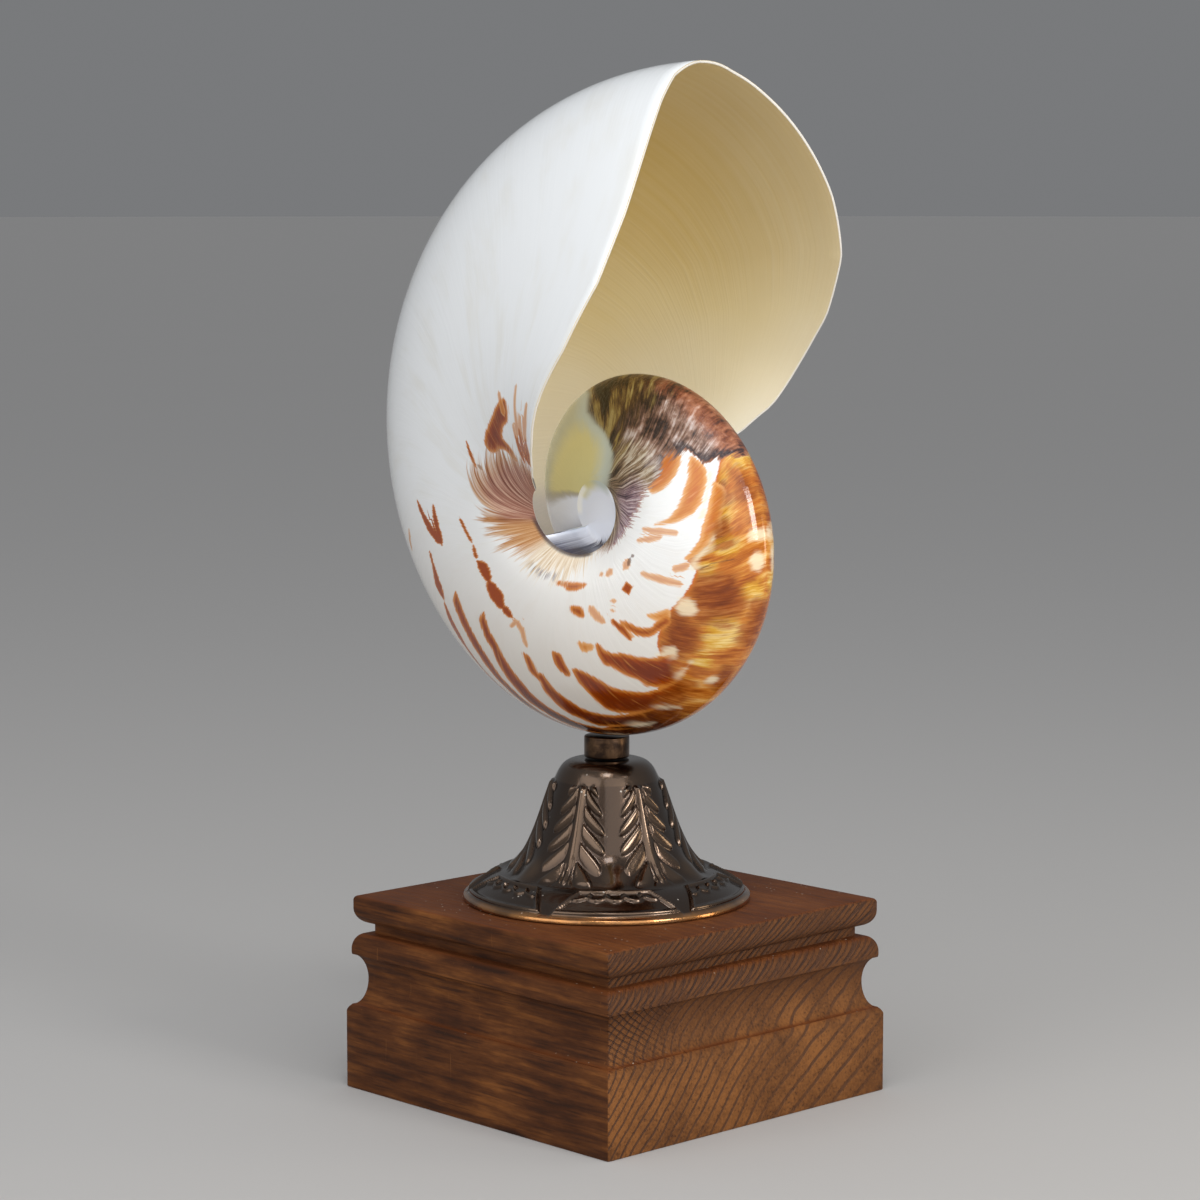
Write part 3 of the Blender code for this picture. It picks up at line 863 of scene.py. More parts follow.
@dataclass(frozen=True)
class PolishedShell:
    """Glossy porcelain outside with rust flames, an amber keel, a worn film and a hairy fan."""

    white: Colour = linear(238, 241, 243)
    warm_white: Colour = linear(224, 221, 210)
    shaded_white: Colour = linear(218, 209, 196)
    cream: Colour = linear(236, 222, 190)
    rust: Colour = linear(152, 64, 6)
    deep_rust: Colour = linear(116, 42, 2)
    dark_rust_and_shade: Colour = linear(56, 20, 4)
    orange: Colour = linear(192, 104, 38)
    amber: Colour = linear(204, 128, 52)
    thin_amber: Colour = linear(222, 164, 102)
    dark_spot: Colour = linear(92, 58, 36)
    fan_tooth: Colour = linear(84, 44, 52)
    pit_seam: Colour = linear(50, 42, 56)
    crust: Colour = linear(40, 32, 40)
    film_rim: Colour = linear(158, 104, 76)
    grey_nacre: Colour = linear(178, 180, 156)
    brown_border: Colour = linear(112, 98, 82)
    nacre_shade_line: Colour = linear(138, 126, 100)
    nacre_shade: Colour = linear(140, 142, 160)
    clear_amber: Stops = tones((0.36, 146, 72, 16), (0.45, 182, 104, 34), (0.53, 206, 138, 58),
                               (0.63, 228, 186, 118))
    gold_amber: Stops = tones((0.37, 182, 124, 14), (0.48, 212, 164, 50), (0.60, 236, 212, 140))
    brown_amber: Stops = tones((0.38, 88, 30, 0), (0.50, 126, 51, 1), (0.62, 168, 88, 17))
    mauve_hairs: Stops = tones((0.38, 104, 52, 34), (0.45, 146, 92, 76), (0.53, 178, 128, 108),
                               (0.61, 220, 184, 160))
    ginger_hairs: Stops = tones((0.32, 138, 82, 36), (0.44, 182, 126, 74), (0.56, 202, 158, 112),
                                (0.70, 226, 202, 172))
    cream_hairs: Stops = tones((0.32, 150, 112, 84), (0.42, 206, 182, 148), (0.53, 228, 214, 192),
                               (0.66, 242, 238, 232))
    dark_film: Stops = tones((0.42, 34, 25, 17), (0.47, 66, 48, 31), (0.51, 98, 72, 44),
                             (0.545, 140, 118, 66), (0.60, 172, 154, 100))
    worn_film: Stops = tones((0.43, 44, 34, 34), (0.47, 104, 76, 64), (0.51, 150, 120, 106),
                             (0.54, 188, 168, 160), (0.59, 224, 214, 216))
    combed_film: Stops = tones((0.41, 44, 34, 28), (0.46, 98, 76, 58), (0.52, 152, 130, 104),
                               (0.58, 210, 200, 184))
    rusty_film: Stops = tones((0.43, 54, 34, 30), (0.475, 128, 72, 48), (0.53, 172, 114, 84),
                              (0.59, 208, 172, 156))
    purple_film: Stops = tones((0.38, 62, 46, 60), (0.48, 142, 114, 130), (0.60, 196, 178, 190))
    painted_glow_strength: float = 0.20

    def material(self) -> bpy.types.Material:
        """Build the finish."""
        mix = Recipe("polished_shell")
        where, bearing = mix.where(), mix.attribute("bearing")
        broad = mix.streaks((0.16, 5.0, 1.3), 3.0, 0.55)
        ragged = ((mix.streaks((1.3, 9.0, 3.1), 4.0, 0.62) - 0.5) * 2.4
                  + (mix.streaks((4.5, 10.0, 7.7), 3.0, 0.6) - 0.5) * 1.6)
        low_down = (mix.axes(where)[2] + (broad - 0.5) * 0.03).step(0.165, 0.105)
        colour = mix.layers(self.white, (broad.step(0.45, 0.75) * 0.3, self.warm_white),
                            (low_down * 0.75, self.shaded_white))
        colour = self.mass(mix, colour, ragged)
        colour = self.flames(mix, colour, ragged)
        colour = self.fan(mix, colour)
        colour = self.film(mix, colour)
        growth_lines = (mix.streaks((0.5, 2.0, 5.0), 2.0, 0.5) * 0.7
                        + mix.streaks((2.4, 1.2, 4.0), 2.0, 0.5) * 0.3)
        crust = mix.noise(where, 900.0, 3.0, 0.6)
        film = mix.attribute("film").step(-1.0, 3.0) * mix.attribute("nacre").step(1.0, -1.0)
        normal = mix.bump(crust * film, 0.00040, mix.bump(growth_lines, 0.00010))
        # Bare nacre carries a painted glow: a weak emission that lightens it where the coil's
        # hollow shades it.
        bare = bearing.step(410.0, 440.0) * mix.attribute("nacre").step(-1.0, 3.0)
        glow = mix.mix(bare * bearing.step(566.0, 556.0), (0.0, 0.0, 0.0), colour)
        return mix.dress({"Base Color": colour, "Roughness": 0.065 + crust * 0.03 + film * 0.24,
                          "Normal": normal, "IOR": 1.48, "Coat Weight": 0.12,
                          "Coat Roughness": 0.04, "Emission Color": glow,
                          "Emission Strength": self.painted_glow_strength})

    @staticmethod
    def underside(mix: Recipe, streaks: Channel, fade: Tuple[float, float]) -> Channel:
        """Share of the darker underside, partly deeper rust and partly painted shade, fading out
        over these fractions from the keel.
        """
        low = (mix.attribute("bearing") + (streaks - 0.5) * 30.0).step(300.0, 276.0)
        return low * abs(mix.attribute("span")).step(*fade)

    def mass(self, mix: Recipe, under: Tint, ragged: Channel) -> Channel:
        """The glassy amber along the keel, clouded with rust, gold and milky gaps.

        Args:
            mix: The recipe that is being written.
            under: The colour below.
            ragged: Noise that frays the edges, in millimetres.

        Returns:
            The colour with the amber over it.
        """
        streaks = mix.streaks((0.26, 3.4, 9.0), 5.0, 0.56)
        lit = streaks * 0.72 + mix.streaks((1.7, 5.0, 11.0), 3.0, 0.6) * 0.28
        sway = (streaks - 0.5) * 10.0 + ragged * 0.7
        amber = mix.attribute("amber") + ragged * 0.5
        gold = (mix.attribute("gold") + sway * 1.3).step(-1.8, 1.8)
        brown = (mix.attribute("blush") + sway * 2.0).step(-1.8, 2.2)
        # The cream gaps are the shell's own colour, and beside the keel's strip highlight partly
        # painted reflection.
        gap = mix.attribute("gap") + ragged * 0.7 + (streaks - 0.5) * 5.0
        # The underside's dark coat is partly deeper rust and partly painted shade.
        tone = mix.layers(mix.ramp(lit, self.clear_amber),
                          (gold * 0.82, mix.ramp(lit, self.gold_amber)),
                          (brown * 0.88, mix.ramp(lit, self.brown_amber)),
                          (self.underside(mix, streaks, (0.30, 0.10)) * 0.85, self.dark_rust_and_shade))
        tone = mix.mix(amber.step(0.0, 1.6), self.orange, tone)
        return mix.layers(under, (amber.step(-0.15, 0.35), tone),
                          (gap.step(-0.8, 1.2) * 0.78, self.cream))

    def flames(self, mix: Recipe, under: Tint, ragged: Channel) -> Channel:
        """Flames, crescents and brush strokes, amber where they are thin and rust at heart.

        Args:
            mix: The recipe that is being written.
            under: The colour below.
            ragged: Noise that frays the edges, in millimetres.

        Returns:
            The colour with the marks over it.
        """
        colour = under
        streaks = mix.streaks((0.55, 4.0, 13.0), 4.0, 0.6)
        low = self.underside(mix, streaks, (0.32, 0.12))
        apart = 1.0 - mix.attribute("amber").step(0.5, 5.0) * 0.9
        for name, edge, core, deep, shade in (
                ("crescent", self.thin_amber, self.amber, self.orange, 0.0),
                ("rust", self.amber, self.rust, self.deep_rust, 0.9)):
            depth = mix.attribute(name) + 0.16 + ragged * 0.66
            # On the underside the rust's heart takes a dark coat, partly deeper rust and partly
            # painted shade.
            heart = mix.layers(core, ((depth + (streaks - 0.5) * 8.0).step(0.4, 3.0), deep),
                               (low * depth.step(0.0, 1.5) * shade, self.dark_rust_and_shade))
            ink = mix.layers(edge, (depth.step(0.0, 1.3), heart),
                             (streaks.step(0.54, 0.68) * 0.55, edge))
            colour = mix.mix(depth.step(-0.40, 0.24) * apart, colour, ink)
        for name, edge, core, share in (("golden", self.thin_amber, self.amber, 0.8),
                                        ("stroke", self.amber, self.rust, 1.0)):
            depth = self.within(mix, name) + 0.08 + ragged * 0.62
            ink = mix.mix(depth.step(0.05, 0.8), edge, core)
            colour = mix.mix(depth.step(-0.25, 0.25) * share, colour, ink)
        spots = self.within(mix, "dark") + ragged * 0.3
        return mix.mix(spots.step(-0.15, 0.2) * 0.75, colour, self.dark_spot)

    @staticmethod
    def within(mix: Recipe, name: str) -> Channel:
        """How deep a place lies inside a kind of stroke, in millimetres."""
        return mix.attribute(name + "_half") - abs(mix.attribute(name + "_off"))

    def fan(self, mix: Recipe, under: Tint) -> Channel:
        """Brush-like streaks that run out from the pit, mauve above and pale gold below.

        Args:
            mix: The recipe that is being written.
            under: The colour below.

        Returns:
            The colour with the fan over it.
        """
        inside, hair = mix.attribute("fan"), mix.attribute("hair")
        ahead, bearing = abs(mix.attribute("span")), mix.attribute("bearing")
        hairs = mix.streaks((0.42, 4.0, 21.0), 4.0, 0.64, hair, ahead)
        thin = mix.streaks((1.6, 6.0, 25.0), 3.0, 0.7, hair, ahead)
        tips = mix.streaks((0.30, 2.0, 27.0), 4.0, 0.75, hair, ahead)
        lit = hairs * 0.62 + thin * 0.38
        ginger = mix.ramp(lit, self.ginger_hairs)
        turn = hair + (tips - 0.5) * 18.0
        outer = (inside + (tips - 0.5) * 10.0).step(7.5, 1.5) * turn.step(215.0, 195.0)
        tooth = inside + (hairs - 0.5) * 6.0
        teeth = tooth.step(0.1, 1.0) * tooth.step(3.4, 1.8) * hairs.step(0.44, 0.54)
        teeth = teeth * turn.step(220.0, 228.0) * turn.step(258.0, 248.0)
        tone = mix.layers(mix.ramp(lit, self.mauve_hairs), (turn.step(174.0, 188.0), ginger),
                          (turn.step(204.0, 224.0), mix.ramp(lit, self.cream_hairs)),
                          (outer * 0.85, ginger), (teeth, self.fan_tooth))
        reach = inside + (tips - 0.5) * 24.0 + (hairs - 0.5) * 14.0
        cover = reach.step(-0.8, 1.8) * (1.0 - lit.step(0.46, 0.58) * reach.step(7.0, 0.5) * 0.8)
        seam = (ahead + (thin - 0.5) * 0.02).step(0.980, 0.994) * bearing.step(168.0, 186.0)
        return mix.layers(under, (cover, tone),
                          (seam * bearing.step(300.0, 284.0) * 0.85, self.pit_seam))

    def film(self, mix: Recipe, under: Tint) -> Channel:
        """The dark worn film over the older coil, crusty along its edge, and bare nacre.

        Args:
            mix: The recipe that is being written.
            under: The colour below.

        Returns:
            The colour with the film and the nacre over it.
        """
        where, ahead = mix.where(), abs(mix.attribute("span"))
        inside, bearing = mix.attribute("film"), mix.attribute("bearing")
        hairs = mix.streaks((0.62, 4.0, 41.0), 4.0, 0.66)
        broad = mix.streaks((0.15, 2.6, 43.0), 3.0, 0.55)
        mottle = mix.noise(where, 130.0, 4.0, 0.64)
        patches = mix.noise(where, 70.0, 2.0, 0.5)
        worn = mix.ramp(mottle * 0.40 + hairs * 0.30 + patches * 0.30, self.worn_film)
        combed = mix.ramp(hairs * 0.62 + broad * 0.38, self.combed_film)
        rusty = mix.ramp(mottle * 0.40 + patches * 0.35 + hairs * 0.25, self.rusty_film)
        dark = mix.ramp(broad * 0.66 + hairs * 0.34, self.dark_film)
        older = (bearing + (broad - 0.5) * 44.0 + ahead * 4.0).step(418.0, 434.0)
        purple = (ahead + (hairs - 0.5) * 0.4).step(0.66, 0.78) * bearing.step(404.0, 386.0)
        purple = purple * (ahead + (hairs - 0.5) * 0.2).step(0.99, 0.93)
        spread = 7.0 + ahead.step(0.55, 0.80) * 12.0
        depth = inside + (mottle - 0.5) * 5.0 + (hairs - 0.5) * spread
        crust = depth.step(5.0, 1.6) * mottle.step(0.47, 0.53) * ahead.step(0.62, 0.45)
        colour = mix.layers(worn, ((ahead + (broad - 0.5) * 0.3).step(0.50, 0.66), combed),
                            ((ahead + (broad - 0.5) * 0.2).step(0.22, 0.08), rusty),
                            (older, dark), (purple * 0.75, mix.ramp(hairs, self.purple_film)),
                            (crust * 0.9, self.crust))
        rim = mix.mix(depth.step(0.2, 1.4), self.film_rim, colour)
        covered = mix.mix(depth.step(-0.4, 0.5), under, rim)
        return self.nacre(mix, covered, hairs, broad)

    def nacre(self, mix: Recipe, under: Tint, hairs: Channel, broad: Channel) -> Channel:
        """Bare nacre beside the pit: yellow in a milky border, pearly white further on.

        Args:
            mix: The recipe that is being written.
            under: The colour below.
            hairs: Fine streaks along the growth lines.
            broad: Broad streaks along the growth lines.

        Returns:
            The colour with the nacre over it.
        """
        ahead, depth = abs(mix.attribute("span")), mix.attribute("nacre")
        bearing = mix.attribute("bearing")
        low = bearing + ahead ** 3.0 * 25.0 + (broad - 0.5) * 6.0
        # A thin brownish line under the yellow nacre's lower edge is a painted shade line.
        pearl = mix.layers(
            self.grey_nacre, ((ahead + (broad - 0.5) * 0.10).step(0.30, 0.60), YELLOW_NACRE),
            ((depth + (broad - 0.5) * 4.0).step(9.0, 2.0) * 0.9, MILKY_NACRE),
            (depth.step(2.6, 0.2) * ahead.step(0.60, 0.40) * 0.7, self.brown_border),
            (low.step(528.0, 538.0), PEARL_WHITE),
            (low.step(527.0, 533.0) * low.step(542.0, 534.0) * 0.6, self.nacre_shade_line),
            ((bearing + (broad - 0.5) * 8.0).step(540.0, 566.0) * 0.4, self.nacre_shade))
        return mix.mix((depth + (hairs - 0.5) * 2.0).step(-0.8, 1.6), under, pearl)


@dataclass(frozen=True)
class ChamberNacre:
    """Satin cream lining of the body chamber, darker and more tan towards its top, partly its own
    colour and partly painted shade.
    """

    deep: Colour = linear(182, 150, 62)
    middle: Colour = linear(208, 190, 140)
    pale: Colour = linear(224, 218, 200)
    pearl: Colour = linear(200, 197, 196)
    lip: Colour = linear(214, 210, 202)
    fold_shadow: Colour = linear(60, 52, 50)
    painted_glow_strength: float = 0.10

    def material(self) -> bpy.types.Material:
        """Build the finish."""
        mix = Recipe("chamber_nacre")
        edge, where = mix.attribute("lip"), mix.where()
        height = mix.axes(where)[2]
        cloud = mix.noise(where, 26.0, 2.0, 0.5)
        lines = mix.streaks((1.2, 1.5, 2.0), 3.0, 0.5)
        # Darker and more tan higher up, paler towards the mouth: partly the lining's own colour,
        # partly painted shade deeper inside the chamber.
        rise = (height + (cloud - 0.5) * 0.03).step(0.150, 0.262)
        # Beside the pits the lip's rows are painted dark: a painted shadow along the fold where the
        # lip meets the older coil.
        beside_pit = mix.attribute("ring").step(0.3, 0.9) * edge.step(1.0, 1.6)
        colour = mix.layers(
            mix.ramp(rise, ((0.0, self.pale), (0.45, self.middle), (1.0, self.deep))),
            ((lines - 0.5) * 0.25 + 0.1, self.pale), (edge.step(0.70, 1.0) * 0.25, self.pale),
            ((height + (cloud - 0.5) * 0.008).step(0.1585, 0.1500), self.pearl),
            (edge.step(1.05, 1.5), self.lip), (beside_pit * 0.9, self.fold_shadow))
        # The lining carries a painted glow: a weak emission of its own colour that lightens the
        # shaded chamber.
        return mix.dress({"Base Color": colour, "Roughness": 0.30 + cloud * 0.1,
                          "Normal": mix.bump(lines * 0.5 + cloud * 0.5, 0.00016), "IOR": 1.5,
                          "Coat Weight": 0.15, "Coat Roughness": 0.18, "Emission Color": colour,
                          "Emission Strength": self.painted_glow_strength})


@dataclass(frozen=True)
class NavelNacre:
    """Bare nacre in the pits: pearly floor, a yellow cast above, a blue-black fringe below."""

    fringe: Colour = linear(42, 42, 60)
    haze: Colour = linear(120, 120, 138)
    thread: Colour = linear(206, 210, 222)
    edge_highlight: Colour = linear(244, 243, 236)
    painted_glow_strength: float = 0.20

    def material(self) -> bpy.types.Material:
        """Build the finish."""
        mix = Recipe("navel_nacre")
        ring, ahead, where = mix.attribute("ring"), mix.attribute("bearing"), mix.where()
        hairs = mix.streaks((0.30, 1.5, 6.0), 4.0, 0.7, ahead, ring)
        threads = mix.streaks((0.9, 1.0, 9.0), 3.0, 0.7, ahead, ring)
        cloud = mix.noise(where, 150.0, 2.0, 0.5)
        rise = (ahead + (cloud - 0.5) * 8.0).step(514.0, 502.0) * ahead.step(405.0, 425.0)
        rise = rise * (ring + (cloud - 0.5) * 0.3).step(0.60, 0.92)
        glaze = mix.mix(ahead.step(476.0, 440.0), YELLOW_NACRE, MILKY_NACRE)
        under = ahead.step(236.0, 268.0) * ahead.step(352.0, 318.0)
        reach = ring + (hairs - 0.5) * (under * 0.6 + 0.14) + under * 0.20
        low = mix.axes(where)[2].step(0.1560, 0.1500) * ahead.step(430.0, 400.0)
        low = low * ahead.step(205.0, 226.0)
        # A pale line along the left of the pit's rounded rim is a painted highlight, where the edge
        # catches the light.
        worn = ring.step(0.80, 0.93) * ahead.step(478.0, 492.0) * ahead.step(548.0, 534.0)
        colour = mix.layers(
            PEARL_WHITE, (rise, glaze), (reach.step(0.78, 0.98) * low * 0.5, self.haze),
            (reach.step(0.90, 1.03) * low * 0.95, self.fringe),
            (threads.step(0.56, 0.66) * reach.step(0.85, 1.0) * low * 0.6, self.thread),
            (worn * 0.8, self.edge_highlight))
        # The pit's nacre carries a painted glow: a weak emission of its own colour that lightens
        # the shaded pit.
        return mix.dress({"Base Color": colour, "Roughness": 0.16, "IOR": 1.5,
                          "Coat Weight": 0.2, "Coat Roughness": 0.06,
                          "Emission Color": colour, "Emission Strength": self.painted_glow_strength,
                          "Normal": mix.bump(cloud, 0.0002)})


@dataclass(frozen=True)
class DarkBronze:
    """Dark antique bronze, glossy on its high places, browner and dull in its hollows."""

    metal: Colour = linear(95, 77, 62)
    brown: Colour = linear(68, 54, 44)
    gold: Colour = linear(188, 132, 78)
    dust: Colour = linear(206, 200, 190)

    def material(self) -> bpy.types.Material:
        """Build the finish."""
        mix = Recipe("dark_bronze")
        where = mix.where()
        cloud = mix.noise(where, 120.0, 3.0, 0.55)
        grain = mix.noise(where, 1400.0, 3.0, 0.6)
        worn = (mix.attribute("rise") + (cloud - 0.5) * 0.5).step(0.10, 0.95)
        rubbed = mix.attribute("rim") * (cloud.step(0.30, 0.60) * 0.6 + 0.4)
        dust = mix.cells(where, 520.0).step(0.15, 0.09) * cloud.step(0.56, 0.68)
        colour = mix.layers(self.brown, (worn, self.metal), (rubbed, self.gold),
                            (dust * 0.7, self.dust))
        rough = 0.19 - worn * 0.05 + grain * 0.06 + dust * 0.3
        return mix.dress({"Base Color": colour, "Metallic": 1.0 - dust, "Roughness": rough,
                          "Normal": mix.bump(grain * 0.3 + cloud * 0.7, 0.00012),
                          "Coat Weight": 0.4, "Coat Roughness": 0.07})


@dataclass(frozen=True)
class BrassSleeve:
    """Brown turned brass with fine rings left by the lathe."""

    metal: Colour = linear(98, 75, 56)
    brown: Colour = linear(52, 40, 33)

    def material(self) -> bpy.types.Material:
        """Build the finish."""
        mix = Recipe("turned_brass")
        where = mix.where()
        cloud = mix.noise(where, 300.0, 3.0, 0.6)
        rings = mix.noise(where, (30.0, 30.0, 2600.0), 2.0, 0.6)
        return mix.dress({"Base Color": mix.mix(cloud.step(0.35, 0.7), self.brown, self.metal),
                          "Metallic": 1.0, "Roughness": 0.24 + cloud * 0.12,
                          "Normal": mix.bump(rings, 0.00005)})


@dataclass(frozen=True)
class OiledWood:
    """Solid brown wood: dark rings on the end faces, soft long figure on the others."""

    gold: Colour = linear(126, 80, 40)
    dark: Colour = linear(46, 24, 11)
    ring_ink: Colour = linear(56, 39, 33)
    moulding_shade: Colour = linear(70, 42, 26)
    shaded_top_red: Colour = linear(106, 56, 26)
    dust: Colour = linear(200, 186, 168)
    long_tones: Stops = tones((0.36, 46, 24, 11), (0.44, 68, 36, 15), (0.52, 90, 51, 22),
                              (0.62, 122, 74, 34))
    end_tones: Stops = tones((0.34, 72, 43, 22), (0.46, 99, 61, 30), (0.62, 126, 80, 40))
    pith: Tuple[float, float] = (0.17, -0.16)
    ring_rate: float = 5000.0
    cut_pitch: float = 0.0025
    cross_pitch: float = 0.00275
    moulding_foot: float = 0.0215
    bead_foot: float = 0.0358

    @staticmethod
    def waves(place: Channel, rate: float) -> Channel:
        """Even waves between 0 and 1, so many to a unit of place."""
        return (place * (2.0 * math.pi * rate)).sine() * 0.5 + 0.5

    def material(self) -> bpy.types.Material:
        """Build the finish."""
        mix = Recipe("oiled_wood_figure")
        where = mix.where()
        _, y, z = mix.axes(where)
        facing_x, _, facing_z = mix.axes(mix.facing())
        end, top = abs(facing_x).step(0.35, 0.75), facing_z.step(0.55, 0.95)
        drift = mix.noise(where, (5.0, 20.0, 20.0), 3.0, 0.5)
        jitter = mix.noise(where, (30.0, 160.0, 160.0), 2.0, 0.5)
        pores = mix.noise(where, (70.0, 1500.0, 1500.0), 2.0, 0.6)
        cloud = mix.noise(where, (16.0, 60.0, 60.0), 4.0, 0.6)
        blotch = mix.noise(where, (44.0, 60.0, 130.0), 4.0, 0.58)
        figure = mix.noise(where, (60.0, 240.0, 420.0), 4.0, 0.62)
        scratch = mix.noise(where, (900.0, 900.0, 45.0), 2.0, 0.5)

        out_y, out_z = y - self.pith[0], z - self.pith[1]
        reach = (out_y * out_y + out_z * out_z) ** 0.5
        reach = reach + (drift - 0.5) * 0.009 + (jitter - 0.5) * 0.0006
        wave = self.waves(reach ** 4.0, self.ring_rate)
        corner = y.step(-0.010, -0.040) * 0.35
        ink = (wave.step(0.78, 0.98) * (0.40 + cloud.step(0.35, 0.65) * 0.60 + corner)).least(1.0)

        slant = self.waves(y - z * 1.35 + (jitter - 0.5) * 0.0016, 1.0 / self.cut_pitch)
        cross = self.waves(y + z * 1.6 + (jitter - 0.5) * 0.002, 1.0 / self.cross_pitch)
        rope = z.step(self.bead_foot, self.bead_foot + 0.001)
        near = (y + (cloud - 0.5) * 0.02).step(-0.022, -0.034)
        low = z.step(self.moulding_foot, self.moulding_foot + 0.0008) * near
        cuts = (slant.step(0.62, 0.98) * rope).most(cross.step(0.70, 0.98) * low * (1.0 - rope))
        cuts = cuts * (0.45 + cloud.step(0.40, 0.60) * 0.55) * facing_x.step(0.05, 0.35)

        long_side = mix.ramp(blotch * 0.42 + figure * 0.30 + wave * 0.05 + pores * 0.20,
                             self.long_tones)
        # On the end faces everything from the cove upwards is darkened with painted shade.
        end_side = mix.layers(
            mix.ramp(cloud * 0.6 + pores * 0.4, self.end_tones),
            (z.step(self.moulding_foot, self.bead_foot) * 0.55, self.moulding_shade),
            (ink * 0.72, self.ring_ink), (cuts * 0.7, self.ring_ink))
        dust = mix.cells(where, 460.0).step(0.13, 0.07) * jitter.step(0.50, 0.58) * top
        # Top faces take a darker red tint: partly the wood's own tone, partly painted shade on the
        # top.
        colour = mix.layers(long_side, (end, end_side),
                            (cuts * (1.0 - end) * 0.5, self.ring_ink), (top * 0.50, self.shaded_top_red),
                            (pores.step(0.40, 0.28) * 0.5, self.dark),
                            (scratch.step(0.70, 0.76) * 0.35, self.gold), (dust * 0.8, self.dust))
        height = pores * 0.35 + figure * 0.15 - ink * end * 0.5 - cuts * 0.9
        return mix.dress({"Base Color": colour, "Roughness": 0.46 + pores * 0.2 + ink * 0.08,
                          "Normal": mix.bump(height, 0.00028), "IOR": 1.38,
                          "Specular IOR Level": 0.25})


@dataclass(frozen=True)
class PaleFloor:
    """Plain matt floor."""

    tone: Colour = (0.50, 0.49, 0.48)
    cloud: Colour = (0.44, 0.43, 0.42)

    def material(self) -> bpy.types.Material:
        """Build the finish."""
        mix = Recipe("pale_floor")
        cloud = mix.noise(mix.where(), 3.0, 2.0, 0.5)
        return mix.dress({"Base Color": mix.mix(cloud * 0.08, self.tone, self.cloud),
                          "Roughness": 0.8})


